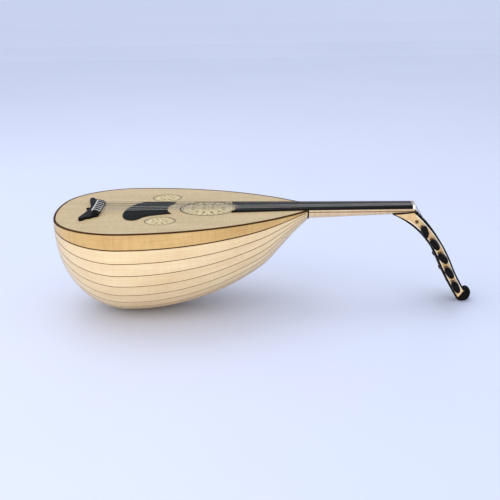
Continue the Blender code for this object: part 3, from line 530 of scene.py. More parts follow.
def plate(name, outlines, bottom, top):
    """Flat piece between two heights: the first outline is its edge, the rest are holes."""
    curve = bpy.data.curves.new(name, "CURVE")
    curve.dimensions = "2D"
    curve.fill_mode = "BOTH"
    curve.extrude = (top - bottom) / 2
    for outline in outlines:
        spline = curve.splines.new("POLY")
        spline.points.add(len(outline) - 1)
        spline.use_cyclic_u = True
        for point, place in zip(spline.points, outline):
            point.co = (place[0], place[1], 0.0, 1.0)
    flat = bpy.data.objects.new(name, curve)
    mesh = evaluated_mesh(flat)
    bm = bmesh.new()
    bm.from_mesh(mesh)
    bmesh.ops.translate(bm, verts=bm.verts, vec=(0.0, 0.0, (top + bottom) / 2))
    bmesh.ops.remove_doubles(bm, verts=bm.verts, dist=0.000002)
    bpy.data.objects.remove(flat)
    return mesh_object(name, bm)


def evaluated_mesh(obj):
    """Mesh of an object that isn't in the scene yet, with its modifiers applied."""
    bpy.context.scene.collection.objects.link(obj)
    bpy.context.view_layer.update()
    mesh = bpy.data.meshes.new_from_object(
        obj.evaluated_get(bpy.context.evaluated_depsgraph_get()))
    bpy.context.scene.collection.objects.unlink(obj)
    return mesh


def applied(obj):
    """The object with its modifiers turned into mesh."""
    mesh = evaluated_mesh(obj)
    obj.modifiers.clear()
    obj.data = mesh
    return obj


def rounded(obj, width, segments):
    """Round the edges sharper than 35 degrees."""
    bevel = obj.modifiers.new("rounded", "BEVEL")
    bevel.width = width
    bevel.segments = segments
    bevel.limit_method = "ANGLE"
    bevel.angle_limit = math.radians(35)
    return applied(obj)


def cut(obj, tools):
    """Cut each tool out of the object and use the tools up."""
    for tool in tools:
        bpy.context.scene.collection.objects.link(tool)
        modifier = obj.modifiers.new(tool.name, "BOOLEAN")
        modifier.operation = "DIFFERENCE"
        modifier.solver = "EXACT"
        modifier.object = tool
    applied(obj)
    for tool in tools:
        bpy.data.objects.remove(tool)
    return obj


def put(obj, finishes, nodes=(), body="root", angle=35):
    """Shade a piece drawn from the datum, place it and hang it on its body."""
    for finish in finishes if isinstance(finishes, (list, tuple)) else [finishes]:
        obj.data.materials.append(finish)
    obj.data.shade_smooth()
    obj.data.set_sharp_from_angle(angle=math.radians(angle))
    bpy.context.scene.collection.objects.link(obj)
    obj.location = obj.location + DATUM
    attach(obj, body)
    if nodes:
        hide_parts(*nodes)


def walk(place, heading, legs, step):
    """Points of a path made of arcs: each leg is a length and the degrees it turns."""
    x, z = place
    points = [(x, z)]
    for length, turn in legs:
        steps = max(1, round(length / step))
        for _ in range(steps):
            heading += turn / steps / 2
            x += length / steps * math.cos(math.radians(heading))
            z += length / steps * math.sin(math.radians(heading))
            heading += turn / steps / 2
            points.append((x, z))
    return points


def offset_path(path, distance):
    """Move a path sideways; a positive distance is to the left of its heading."""
    moved = []
    for i, (x, z) in enumerate(path):
        before, after = path[max(0, i - 1)], path[min(len(path) - 1, i + 1)]
        dx, dz = after[0] - before[0], after[1] - before[1]
        size = math.hypot(dx, dz)
        moved.append((x - distance * dz / size, z + distance * dx / size))
    return moved


# ---------------------------------------------------------------- the outline and the bowl
SHOULDER_Y = BODY_HALF_WIDTH - SHOULDER_RADIUS
FLANK_Y = BODY_HALF_WIDTH - FLANK_RADIUS
TAIL_CENTRE_X = BODY_WIDEST_X + math.sqrt((TAIL_RADIUS - SHOULDER_RADIUS) ** 2 - SHOULDER_Y ** 2)
TAIL_ANGLE = math.degrees(math.atan2(SHOULDER_Y, BODY_WIDEST_X - TAIL_CENTRE_X))
BODY_END = -RING_THICKNESS / 2 - 0.0002


def outline_point(arc_name, angle, inset):
    """Point of the outline's flank, shoulder or tail arc, moved inwards by the inset."""
    x, y, radius = {
        "flank": (BODY_WIDEST_X, FLANK_Y, FLANK_RADIUS),
        "shoulder": (BODY_WIDEST_X, SHOULDER_Y, SHOULDER_RADIUS),
        "tail": (TAIL_CENTRE_X, 0.0, TAIL_RADIUS),
    }[arc_name]
    turn = math.radians(angle)
    return x + (radius - inset) * math.cos(turn), y + (radius - inset) * math.sin(turn)


def half_outline(inset):
    """Half outline from the neck's joint round to the middle of the tail."""
    first = math.degrees(math.acos((BODY_END - BODY_WIDEST_X) / (FLANK_RADIUS - inset)))
    points = [outline_point("flank", a, inset) for a in spread(first, 90, 70)]
    points += [outline_point("shoulder", a, inset)
               for a in spread(90, TAIL_ANGLE, 60)[1:]]
    points += [outline_point("tail", a, inset) for a in spread(TAIL_ANGLE, 180, 14)[1:]]
    return points


def mirrored(points):
    """Add the other half to an outline that ends on the middle line."""
    return points + [(x, -y) for x, y in reversed(points[:-1])]


def roundness(x):
    """Depth of the bowl over its half width at x: it flattens towards the neck."""
    blend = min(1.0, max(0.0, -x / NECK_BLEND_LENGTH))
    blend = blend * blend * (3 - 2 * blend)
    return JOINT_ROUNDNESS + (BOWL_ROUNDNESS - JOINT_ROUNDNESS) * blend


def seam_angles(shape):
    """Angles of the ribs' edges, rim to rim, with equal girths for all but the edge ribs."""
    steps = 3600
    girth = [0.0]
    for i in range(steps):
        angle = math.pi * (i + 0.5) / steps
        girth.append(girth[-1] + math.hypot(math.sin(angle), shape * math.cos(angle)))
    one = girth[-1] / (RIB_COUNT - 2 + 2 * EDGE_RIB_SHARE)
    angles = [0.0]
    i = 0
    for rib in range(RIB_COUNT - 1):
        target = one * (EDGE_RIB_SHARE + rib)
        while girth[i + 1] < target:
            i += 1
        share = (target - girth[i]) / (girth[i + 1] - girth[i])
        angles.append(math.pi * (i + share) / steps)
    return angles + [math.pi]


LEVEL_WIDTH = (BODY_HALF_WIDTH - SHOULDER_RADIUS
               + math.sqrt(SHOULDER_RADIUS ** 2 - REST_HALF_LENGTH ** 2))
SEAMS = seam_angles(BOWL_DEPTH / BODY_HALF_WIDTH)
LOW_EDGE = SEAMS[RIB_COUNT // 2] + RIB_GAP / 2 / LEVEL_WIDTH
BOWL_ROUNDNESS = BOWL_DEPTH / (LEVEL_WIDTH * math.sin(LOW_EDGE))
JOINT_ROUNDNESS = JOINT_DEPTH / JOINT_HALF_WIDTH


def skin(x, half_width, angle):
    """Point of the bowl's skin; the angle runs from the treble rim under to the bass rim."""
    deep = min(half_width, LEVEL_WIDTH) * roundness(x)
    return Vector((x, -half_width * math.cos(angle), -deep * math.sin(angle)))


def rib_stations():
    """Arc names and angles where the ribs' sections stand."""
    joint = math.degrees(math.acos((BODY_END - BODY_WIDEST_X) / FLANK_RADIUS))
    rest_flank = math.degrees(math.acos(REST_HALF_LENGTH / FLANK_RADIUS))
    rest_shoulder = 90 + math.degrees(math.asin(REST_HALF_LENGTH / SHOULDER_RADIUS))
    tip = 180 - math.degrees(math.asin(TIP_HALF_WIDTH / TAIL_RADIUS))
    stations = [("flank", a) for a in spread(joint, rest_flank, 54)]
    stations += [("flank", 90)]
    stations += [("shoulder", a) for a in spread(rest_shoulder, TAIL_ANGLE, 34)]
    stations += [("tail", a) for a in spread(TAIL_ANGLE, tip, 8)[1:]]
    return stations


def seam_width(seam, half_width):
    """Width of a purfling strip: it narrows with the body towards its ends."""
    full = RIM_PURFLING_WIDTH if seam in (1, RIB_COUNT - 1) else PURFLING_WIDTH
    return full * (0.5 + 0.5 * min(1.0, half_width / PURFLING_FULL_FROM))


def rib_edges(station, rib, inset):
    """Angles of a rib's two edges on one skin, clear of the purfling or up to the rim."""
    x, half_width = outline_point(*station, inset)
    deep = min(half_width, LEVEL_WIDTH)
    rim = math.asin(BINDING_DEPTH / (deep * roundness(x)))
    low = SEAMS[rib] + seam_width(rib, half_width) / 2 / deep if rib else rim
    last = rib == RIB_COUNT - 1
    high = math.pi - rim if last else SEAMS[rib + 1] - seam_width(rib + 1, half_width) / 2 / deep
    return low, high


def make_ribs():
    """The bowl's bent ribs, nearly flat across, each cut from its own plank."""
    stations = rib_stations()
    steps = 6
    for rib in range(RIB_COUNT):
        crown = 0.0 if rib == RIB_COUNT // 2 else RIB_CROWN
        sections = []
        for station in stations:
            section = []
            for inset, count in ((0.0, steps), (RIB_THICKNESS, 2)):
                x, half_width = outline_point(*station, inset)
                low, high = rib_edges(station, rib, inset)
                a, b = skin(x, half_width, low), skin(x, half_width, high)
                face = [a.lerp(b, t).lerp(skin(x, half_width, low + (high - low) * t), crown)
                        for t in spread(0.0, 1.0, count)]
                section += face if inset == 0.0 else face[::-1]
            sections.append(section)
        edge = rib in (0, RIB_COUNT - 1)
        obj = loft(f"bent_rib_{rib + 1:02d}", sections, middle=steps // 2,
                   shift=(PLANK_SHIFT[0] * rib, PLANK_SHIFT[1] * rib))
        put(obj, EDGE_RIB_FINISH if edge else RIB_FINISHES[rib % 3],
            [f"rib_{rib + 1:02d}"])


def make_purfling():
    """Brown strip in each seam, darker by the rims, a tenth of a millimetre proud of the ribs."""
    proud = 0.0001
    grain_step = 0.41
    for seam in range(1, RIB_COUNT):
        sections = []
        for station in rib_stations():
            section = []
            for inset, sign in ((-proud, 1), (RIB_THICKNESS, -1)):
                x, half_width = outline_point(*station, inset)
                deep = min(half_width, LEVEL_WIDTH)
                half = seam_width(seam, half_width) / 2 / deep
                for t in (-sign, 0, sign):
                    section.append(skin(x, half_width, SEAMS[seam] + t * half))
            sections.append(section)
        finish = BINDING_FINISH if seam in (1, RIB_COUNT - 1) else PURFLING_FINISH
        put(loft(f"purfling_{seam:02d}", sections, middle=1, shift=(grain_step * seam, 0.0)),
            finish)


def make_tail_cap():
    """Half-round ebony cap over the ribs' tips."""
    half_width = TIP_HALF_WIDTH + 0.0004
    x = TAIL_CENTRE_X - TAIL_RADIUS + 0.0002
    deep = half_width * roundness(x)
    sections = []
    for step, inset in ((0.0, 0.0008), (0.0003, 0.0002), (0.0010, 0.0), (0.0028, 0.0)):
        loop = [(x + step, -(half_width - inset) * math.cos(a), -(deep - inset) * math.sin(a))
                for a in spread(CAP_RIM_ANGLE, math.pi - CAP_RIM_ANGLE, 24)]
        sections.append([(px, py, min(pz, -BOARD_THICKNESS)) for px, py, pz in loop])
    put(loft("tail_cap_ebony", sections), EBONY, ["tail_cap"])


# ---------------------------------------------------------------- the soundboard and what is on it
def make_soundboard():
    """Spruce plate, let out for the rings of its three rosettes, and its binding."""
    edge = mirrored(half_outline(BINDING_WIDTH))
    holes = [circle(ROSETTE_X, 0.0, ROSETTE_RING_RADIUS, 120)]
    holes += [circle(SMALL_ROSETTE_X, side * SMALL_ROSETTE_Y, SMALL_RING_RADIUS, 90)
              for side in (-1, 1)]
    board = plate("spruce_soundboard", [edge] + holes, -BOARD_THICKNESS, 0.0)
    put(board, BOARD_FINISH, ["soundboard"])

    edges = ((0.0, -BINDING_DEPTH), (0.0, -0.0006), (0.00018, -0.00018), (0.0006, 0.0),
             (BINDING_WIDTH, 0.0), (BINDING_WIDTH, -BINDING_DEPTH))
    rims = [mirrored(half_outline(inset)) for inset, _ in edges]
    sections = [[(*rim[i], edges[j][1] + BINDING_PROUD) for j, rim in enumerate(rims)]
                for i in range(len(rims[0]))]
    put(loft("rim_binding", sections), BINDING_FINISH, ["edge_binding"], angle=50)


def washer(name, x, y, inner, outer, top, count, finish):
    """Flat ring let into the soundboard."""
    outlines = [circle(x, y, outer, count), circle(x, y, inner, count)]
    put(plate(name, outlines, -BOARD_THICKNESS, top), finish)


def petal(x, y, inner, outer, half_width, turn):
    """Outline of a pointed slot that runs out from a centre, rounded in the middle."""
    cos, sin = math.cos(turn), math.sin(turn)
    side = [(inner + (outer - inner) * t, half_width * math.sin(math.pi * t) ** 0.8)
            for t in spread(0.0, 1.0, 7)]
    shape = side + [(r, -t) for r, t in reversed(side[1:-1])]
    return [(x + r * cos - t * sin, y + r * sin + t * cos) for r, t in shape]


def make_rosette(name, x, y, radius, rings, dots, hoops, bands, node):
    """Pierced and carved disc: slots and dots cut through, hoops and bands standing proud."""
    bottom, top = -0.0012, -0.0004
    holes = []
    for count, inner, outer, half_width, offset in rings:
        holes += [petal(x, y, inner * radius, outer * radius, half_width,
                        2 * math.pi * (i + offset) / count) for i in range(count)]
    for count, distance, size, offset in dots:
        for i in range(count):
            turn = 2 * math.pi * (i + offset) / count
            holes.append(circle(x + distance * radius * math.cos(turn),
                                y + distance * radius * math.sin(turn), size, 12))
    disc = plate(name, [circle(x, y, radius - 0.0002, 120)] + holes, bottom, top)
    put(disc, FRET_FINISH, [node])
    for number, (count, distance, size) in enumerate(hoops):
        for i in range(count):
            turn = 2 * math.pi * (i + 0.5) / count
            centre = (x + distance * radius * math.cos(turn),
                      y + distance * radius * math.sin(turn))
            ring = [(*p, top) for p in circle(*centre, size * radius, 40)]
            put(tube(f"{name}_hoop_{number}_{i:02d}", ring, 0.00042, 8, True), FRET_FINISH)
    for number, share in enumerate(bands):
        ring = [(*p, top) for p in circle(x, y, share * radius, 96)]
        put(tube(f"{name}_band_{number}", ring, 0.00055, 8, True), FRET_FINISH)
    boss = [(*p, top) for p in circle(x, y, 0.055 * radius, 24)]
    put(tube(f"{name}_boss", boss, 0.0007, 8, True), FRET_FINISH)


def make_rosettes():
    """The large rosette and the two small ones, each in its rings."""
    make_rosette("fretwork_large", ROSETTE_X, 0.0, ROSETTE_RADIUS,
                 ((24, 0.79, 0.93, 0.0017, 0.0), (12, 0.48, 0.73, 0.0025, 0.5),
                  (8, 0.13, 0.35, 0.0018, 0.0)),
                 ((12, 0.70, 0.0010, 0.0), (12, 0.42, 0.0010, 0.0), (24, 0.765, 0.0007, 0.5)),
                 ((12, 0.50, 0.245), (8, 0.22, 0.155)), (0.955, 0.765, 0.395),
                 "rosette_large")
    for side, where in SIDES:
        make_rosette(f"fretwork_small_{where}", SMALL_ROSETTE_X, side * SMALL_ROSETTE_Y,
                     SMALL_ROSETTE_RADIUS,
                     ((16, 0.75, 0.92, 0.0012, 0.0), (8, 0.32, 0.66, 0.0020, 0.5)),
                     ((8, 0.60, 0.0008, 0.0), (8, 0.24, 0.0007, 0.0)),
                     ((8, 0.44, 0.27),), (0.945, 0.70), f"rosette_small_{where}")

    places = [(ROSETTE_X, 0.0, ROSETTE_RADIUS, ROSETTE_RING_RADIUS, 120, "large")]
    places += [(SMALL_ROSETTE_X, side * SMALL_ROSETTE_Y, SMALL_ROSETTE_RADIUS,
                SMALL_RING_RADIUS, 90, where) for side, where in SIDES]
    for x, y, radius, ring_radius, count, where in places:
        dark = (ring_radius - radius) * RING_DARK_SHARE
        line = (ring_radius - radius) * RING_LINE_SHARE
        washer(f"ring_dark_{where}", x, y, ring_radius - dark, ring_radius - RING_GAP,
               0.00006, count, RING_FINISH)
        washer(f"ring_light_{where}", x, y, radius + line, ring_radius - dark - RING_GAP,
               0.00002, count, FRET_FINISH)
        washer(f"ring_line_{where}", x, y, radius, radius + line - RING_GAP,
               0.0, count, RING_FINISH)


def make_pickguard():
    """Thin black guard with rounded edges, hollowed round two of the rosettes."""
    outline = arc(ROSETTE_X, 0.0, GUARD_HOLLOW_RADIUS, 146, 209, 36)
    outline += arc(SMALL_ROSETTE_X, -SMALL_ROSETTE_Y, GUARD_SMALL_HOLLOW_RADIUS, 113, 160, 20)
    belly = [outline[-1], (-0.317, -0.081), (-0.325, -0.0825), (-0.333, -0.077),
             (-0.339, -0.066), (-0.343, -0.050), (-0.344, -0.032), (-0.342, -0.010),
             (-0.337, 0.012), (-0.329, 0.032), (-0.318, 0.047), (-0.306, 0.053),
             (-0.257, 0.049), outline[0]]
    outline += [tuple(p) for p in through(belly, 8)[1:-1]]
    guard = rounded(plate("guard", [outline], FOOT_GAP, GUARD_THICKNESS), 0.0004, 3)
    put(guard, GUARD_FINISH, ["pickguard"])


# half of the bridge's foot, from the point on the tail side round the curled end to the front
BRIDGE_FOOT = ((-0.4170, 0.0), (-0.4118, 0.0035), (-0.4096, 0.0090), (-0.4118, 0.0200),
               (-0.4150, 0.0380), (-0.4180, 0.0540), (-0.4205, 0.0680), (-0.4200, 0.0765),
               (-0.4165, 0.0805), (-0.4125, 0.0785), (-0.4105, 0.0720), (-0.4070, 0.0670),
               (-0.4020, 0.0665), (-0.3985, 0.0600), (-0.3930, 0.0550), (-0.3880, 0.0490))


def make_bridge():
    """Foot with curled ends, tie block with its string holes, bone strip, curls and ties."""
    half = [tuple(p) for p in through(BRIDGE_FOOT, 6)]
    outline = half + [(x, -y) for x, y in reversed(half[1:])]
    foot = rounded(plate("bridge_foot", [outline], FOOT_GAP, BRIDGE_ARM_HEIGHT), 0.0013, 4)
    put(foot, EBONY, ["bridge"])

    front, back = BRIDGE_FRONT, BRIDGE_BACK
    section = [(back, 0.0005), (back, BRIDGE_HEIGHT - 0.0008)]
    section += [(x, block_top(x)) for x in spread(back + 0.0008, front, 12)] + [(front, 0.0005)]
    shoulder = BRIDGE_HALF_LENGTH
    end = [(shoulder - 0.0030, 1.0), (shoulder + 0.0035, 0.93), (shoulder + 0.0085, 0.74),
           (shoulder + 0.0118, 0.44), (shoulder + 0.0125, 0.08)]
    end = [tuple(p) for p in through(end, 6)]
    profile = [(-y, share) for y, share in reversed(end)] + end
    block = loft("tie_block", [[(x, y, z * share) for x, z in section] for y, share in profile])
    holes = []
    for i in range(STRING_COUNT):
        y = string_y(i, *AT_BRIDGE)
        bore = [(x, y, TIE_HEIGHT) for x in (back - 0.002, front + 0.002)]
        holes.append(tube(f"bore_{i}", bore, 0.0007, 16))
    put(cut(block, holes), EBONY, angle=45)

    ridge = [(back + 0.0006, y, BRIDGE_HEIGHT * share) for y, share in profile if share > 0.95]
    put(tube("tie_strip", ridge, 0.0007, 12), BONE)
    x, y = CURL_PLACE
    for side, where in SIDES:
        curl = [(x + CURL_RADIUS * math.cos(a), side * (y + CURL_RADIUS * math.sin(a)),
                 BRIDGE_ARM_HEIGHT) for a in spread(-0.4, 4.4, 20)]
        radii = [0.0007 * math.sin(math.pi * t) ** 0.5 + 0.00005 for t in spread(0.02, 0.98, 20)]
        put(tube(f"bridge_curl_{where}", curl, radii, 8), EBONY)
    for i in range(STRING_COUNT):
        make_tie(i)


def block_top(x):
    """Height of the tie block at x: level behind, then falling in a curve to the front."""
    share = max(0.0, (x - BRIDGE_X) / BRIDGE_WIDTH + 0.25) / 0.75
    return BRIDGE_HEIGHT - BLOCK_FALL * share ** 2.2


def make_tie(index):
    """Loop that ties a string: round it in front of its hole, over the block, in at the back."""
    front, back = BRIDGE_FRONT, BRIDGE_BACK
    y = string_y(index, *AT_BRIDGE)
    partner = min(index + 1 - 2 * (index % 2), STRING_COUNT - 1)
    lean = (string_y(partner, *AT_BRIDGE) - y) * TIE_CLOSING
    wrap = STRING_RADII[index // 2] + TIE_RADIUS
    coil = [(front + 0.0012 - 0.0008 * t, y + wrap * math.cos(2.5 * math.pi * t),
             TIE_HEIGHT + wrap * math.sin(2.5 * math.pi * t)) for t in spread(0.0, 1.0, 24)]
    tail = [(front + 0.0026, y + 0.0007, TIE_HEIGHT - 0.0005),
            (front + 0.0019, y + 0.0006, TIE_HEIGHT - 0.0003)]
    over = [(x, y + lean * min(1.0, 2.5 * (front - x) / BRIDGE_WIDTH), block_top(x) + TIE_RADIUS)
            for x in spread(front - 0.0004, back + 0.0014, 8)]
    over += [(back + 0.0004, y + lean, BRIDGE_HEIGHT + 0.0008 + TIE_RADIUS),
             (back - 0.0008, y + lean, BRIDGE_HEIGHT - 0.0003),
             (back - 0.0009, y + 0.6 * lean, TIE_HEIGHT + 0.0010),
             (back - 0.0002, y, TIE_HEIGHT), (back + 0.0012, y, TIE_HEIGHT)]
    path = through(tail + coil[:1], 5)[:-1] + [Vector(p) for p in coil[:-1]]
    path += through([coil[-1]] + over, 4)
    put(tube(f"tie_loop_{index + 1:02d}", path, TIE_RADIUS, 10), TIE_NYLON, angle=80)


# ---------------------------------------------------------------- the neck
def neck_half_width(x):
    """Half width of neck and fingerboard beyond the joint."""
    return JOINT_HALF_WIDTH + (NUT_HALF_WIDTH - JOINT_HALF_WIDTH) * x / NECK_LENGTH


def neck_section(x, half_width, depth, floor, levels):
    """D-shaped loop under the fingerboard with corners at two given depths on each side."""
    top = -FINGERBOARD_SINK * x / NECK_LENGTH
    turns = [math.asin((level - top) / depth) for level in levels]
    rest = spread(turns[-1], math.pi - turns[-1], 26)[1:-1]
    angles = [0.0] + turns + rest + [math.pi - turn for turn in reversed(turns)] + [math.pi]
    return [(x, -half_width * math.cos(a), min(top, max(floor, -depth * math.sin(a))))
            for a in angles]


def make_neck():
    """Dark ring at the joint, and the neck laminated with a brown strip near its top."""
    half = RING_THICKNESS / 2
    ends = [[(x, -(JOINT_HALF_WIDTH + out) * math.cos(a), -(JOINT_DEPTH + out) * math.sin(a))
             for a in spread(0.0, math.pi, 48)]
            for x, out in ((-half, 0.0003), (-half * 0.6, 0.0007), (half * 0.6, 0.0007),
                           (half, 0.0003))]
    put(loft("joint_ring", ends), GRAIN_EBONY, ["neck_ring"])

    sections = []
    deep = JOINT_DEPTH - 0.0008
    for x in spread(half + 0.0001, NECK_LENGTH, 66):
        depth = deep + (NECK_END_DEPTH - deep) * min(1.0, x / NECK_STRAIGHT_END)
        floor = -depth
        if x > NECK_STRAIGHT_END:
            ease = min(1.0, (x - NECK_STRAIGHT_END) / (SCARF_START[0] - NECK_STRAIGHT_END))
            floor += (NECK_END_DEPTH + SCARF_START[1]) * ease * ease * (3 - 2 * ease)
        if x > SCARF_START[0]:
            rise = (x - SCARF_START[0]) / (SCARF_END[0] - SCARF_START[0])
            floor = SCARF_START[1] + (SCARF_END[1] - SCARF_START[1]) * rise
        share = min(1.0, x / NECK_STRAIGHT_END)
        stripe = STRIPE_DEPTH + STRIPE_FALL * share
        levels = (stripe, stripe + STRIPE_WIDTH - STRIPE_NARROWING * share)
        sections.append(neck_section(x, neck_half_width(x), depth, floor, levels))
    last = len(sections[0]) - 1
    put(loft("laminated_neck", sections, second=(1, last - 2)), [NECK_FINISH, STRIPE_FINISH],
        ["neck"])


def make_fingerboard():
    """Ebony board from the nut to a hollow end round the large rosette."""
    nut_front = NECK_LENGTH - NUT_LENGTH
    horn = math.degrees(math.asin(FINGERBOARD_END_HALF_WIDTH / FINGERBOARD_END_RADIUS))
    outline = [(0.0, -JOINT_HALF_WIDTH), (nut_front, -neck_half_width(nut_front))]
    outline += [(x, -y) for x, y in reversed(outline)]
    outline += arc(ROSETTE_X, 0.0, FINGERBOARD_END_RADIUS, horn, -horn, 40)
    board = rounded(plate("ebony_fingerboard", [outline], FOOT_GAP, FINGERBOARD_TOP), 0.0005, 3)
    bm = bmesh.new()
    bm.from_mesh(board.data)
    everything = bm.verts[:] + bm.edges[:] + bm.faces[:]
    bmesh.ops.bisect_plane(bm, geom=everything, plane_co=(0.0, 0.0, 0.0),
                           plane_no=(1.0, 0.0, 0.0), dist=0.000001)
    for vert in bm.verts:
        if vert.co.z < FINGERBOARD_TOP / 2:
            vert.co.z -= FINGERBOARD_SINK * max(0.0, vert.co.x) / NECK_LENGTH
    bm.to_mesh(board.data)
    bm.free()
    put(board, FINGERBOARD_FINISH, ["fingerboard"])


def make_nut():
    """Bone nut with a round-bottomed slot for each string."""
    front, back = NECK_LENGTH - NUT_LENGTH + 0.0001, NECK_LENGTH
    half_width = neck_half_width(front)
    corner = ((0.0004, 0.0012), (0.0014, 0.0))     # in from the side, down from the top
    top = [(half_width - inwards, NUT_TOP - down) for inwards, down in corner]
    for i in reversed(range(STRING_COUNT)):
        y = string_y(i, *AT_NUT)
        size = STRING_RADII[i // 2] + 0.0001
        top += [(y + size * math.cos(a), NUT_TOP - size * 0.7 * math.sin(a))
                for a in spread(0.0, math.pi, 6)]
    top += [(inwards - half_width, NUT_TOP - down) for inwards, down in reversed(corner)]
    bottom = FOOT_GAP - FINGERBOARD_SINK * front / NECK_LENGTH
    profile = [(-half_width, bottom), (half_width, bottom)] + top
    nut = loft("bone_nut", [[(x, y, z) for y, z in profile] for x in (front, back)])
    put(nut, BONE, ["nut"])


# ---------------------------------------------------------------- the pegbox
def taper_distance(x, z):
    """Distance of a point along the pegbox from where its taper starts."""
    turn = math.radians(PEGBOX_TAPER_HEADING)
    x0, z0 = PEGBOX_TAPER_FROM
    return (x - x0) * math.cos(turn) + (z - z0) * math.sin(turn)


def pegbox_half_width(x, z):
    """Half width across the cheeks."""
    return NUT_HALF_WIDTH - PEGBOX_TAPER * taper_distance(x, z)


def side_slab(name, outline, inset):
    """Side outline given the pegbox's tapering width, less an inset on each side."""
    slab = plate(name, [outline], -1.0, 1.0)
    for vert in slab.data.vertices:
        x, z, side = vert.co
        vert.co = (x, -math.copysign(pegbox_half_width(x, z) - inset, side), z)
    return slab


def strip(name, path, across, thin_start=0):
    """Bar along a side-view path: across lists (offset to the right, side, extra width).

    The bar grows from a third of its thickness over the first thin_start points.
    """
    sections = []
    moved = {offset: offset_path(path, -offset) for offset, _, _ in across}
    for i, (x0, z0) in enumerate(path):
        share = 1.0 if i >= thin_start else (1 + 2 * i / thin_start) / 3
        section = []
        for offset, side, extra in across:
            x, z = moved[offset][i]
            x, z = x0 + (x - x0) * share, z0 + (z - z0) * share
            section.append((x, side * (pegbox_half_width(x, z) + extra), z))
        sections.append(section)
    return loft(name, sections)


def peg_radius(half_width, y):
    """Shaft radius at a distance y towards the head from the pegbox's middle."""
    share = (y / half_width + 1) / 2
    return PEG_TIP_RADIUS + (PEG_HEAD_RADIUS - PEG_TIP_RADIUS) * share


def peg_side(index):
    """-1 for a peg whose head is on the treble side, +1 on the bass side."""
    return 1 if index % 2 == 0 else -1


def peg_bores():
    """Tapered shapes that ream the peg holes, a little wider than the shafts."""
    bores = []
    for i, (x, z) in enumerate(PEG_PLACES):
        half_width = pegbox_half_width(x, z)
        reach = half_width + 0.006
        ends = [(x, side * reach * peg_side(i), z) for side in (-1, 1)]
        radii = [peg_radius(half_width, side * reach) + PEG_BORE_GAP for side in (-1, 1)]
        bores.append(tube(f"peg_bore_{i}", ends, radii, 28))
    return bores


def make_pegbox():
    """Sickle-shaped maple trough with tapered peg holes, dark edges and a light line."""
    step = 0.003
    front, back = walk(*PEGBOX_FRONT, step), walk(*PEGBOX_BACK, step)
    core_front, core_back = offset_path(front, -0.0005), offset_path(back, 0.0005)
    core_back[0] = (back[0][0] + 0.0010, back[0][1] - 0.0004)
    core = side_slab("pegbox_core", core_front + core_back[::-1], 0.0)
    mouth = [p for p in offset_path(front, 0.008) if taper_distance(*p) < TROUGH_END - 0.004]
    floor = [p for p in offset_path(back, PEGBOX_FLOOR) if 0.001 < taper_distance(*p) < TROUGH_END]
    tools = [side_slab("trough", mouth + floor[::-1], CHEEK_THICKNESS)] + peg_bores()
    put(cut(core, tools), PEGBOX_FINISH, ["pegbox"])

    edge, inner, proud = FRONT_BINDING_DEPTH, -CHEEK_THICKNESS - 0.0001, 0.0002
    half = LIGHT_LINE_HALF_WIDTH
    for side, where in SIDES:
        bar = ((0.0, side, proud - 0.0005), (0.0005, side, proud), (edge, side, proud),
               (edge, side, inner), (0.0005, side, inner), (0.0, side, inner + 0.0005))
        put(strip(f"front_binding_{where}", front, bar), GRAIN_EBONY, angle=50)
    spine = ((0.0, -1, proud - 0.0008), (0.0, 1, proud - 0.0008), (-0.0008, 1, proud),
             (-SPINE_THICKNESS, 1, proud), (-SPINE_THICKNESS, -1, proud), (-0.0008, -1, proud))
    put(strip("spine_binding", back, spine, 14), GRAIN_EBONY, angle=50)

    scarf = [Vector(SCARF_START).lerp(Vector(SCARF_END), t) for t in spread(0.03, 1.02, 14)]
    scarf = [(p.x, p.y - 0.0002) for p in scarf]
    veneer = ((0.0, -1, 0.0004), (0.0, 1, 0.0004), (0.0016, 1, 0.0004), (0.0016, -1, 0.0004))
    put(strip("scarf_veneer", scarf, veneer, 6), GRAIN_EBONY, angle=50)

    def between(path, inset):
        """The part of an inset path that the light line follows."""
        first, last = LIGHT_LINE_SPAN
        return [p for p in offset_path(path, inset) if first < taper_distance(*p) < last]

    line_front = between(front, -edge - half)
    line_back = between(back, SPINE_THICKNESS + half)
    a, b = Vector(line_front[-1]), Vector(line_back[-1])
    middle, arm = (a + b) / 2, (a - b) / 2
    out = Vector((-arm.y, arm.x)) * -1.0
    turn = [tuple(middle + arm * math.cos(t) + out * 0.6 * math.sin(t))
            for t in spread(0.0, math.pi, 14)[1:-1]]
    path = line_front + turn + line_back[::-1]
    for side, where in SIDES:
        bar = ((-half, side, -0.0008), (-half, side, 0.0001), (half, side, 0.0001),
               (half, side, -0.0008))
        line = cut(strip(f"light_line_{where}", path, bar), peg_bores())
        put(line, LIGHT_LINE, angle=50)


# side view of the finial, from its front edge forward over the knob and under to the spine
FINIAL_OUTLINE = ((0.2965, -0.1668), (0.2982, -0.1652), (0.3000, -0.1632), (0.3040, -0.1621),
                  (0.3082, -0.1637), (0.3110, -0.1676), (0.3120, -0.1732), (0.3106, -0.1800),
                  (0.3068, -0.1850), (0.3010, -0.1876), (0.2952, -0.1879), (0.2896, -0.1864),
                  (0.2856, -0.1838), (0.2838, -0.1808), (0.2862, -0.1794), (0.2915, -0.1733))
FINIAL_CENTRE = (0.2985, -0.1752)
FINIAL_HALF_WIDTH = 0.0126
FINIAL_NARROWING = 0.0042      # it is this much narrower in front
FINIAL_NARROW_FROM = 0.2880
FINIAL_NARROW_LENGTH = 0.0240
EYE_PLACE = (0.3048, -0.1718)
EYE_RADIUS = 0.0044
EYE_CLOSING = 0.00045          # for each radian


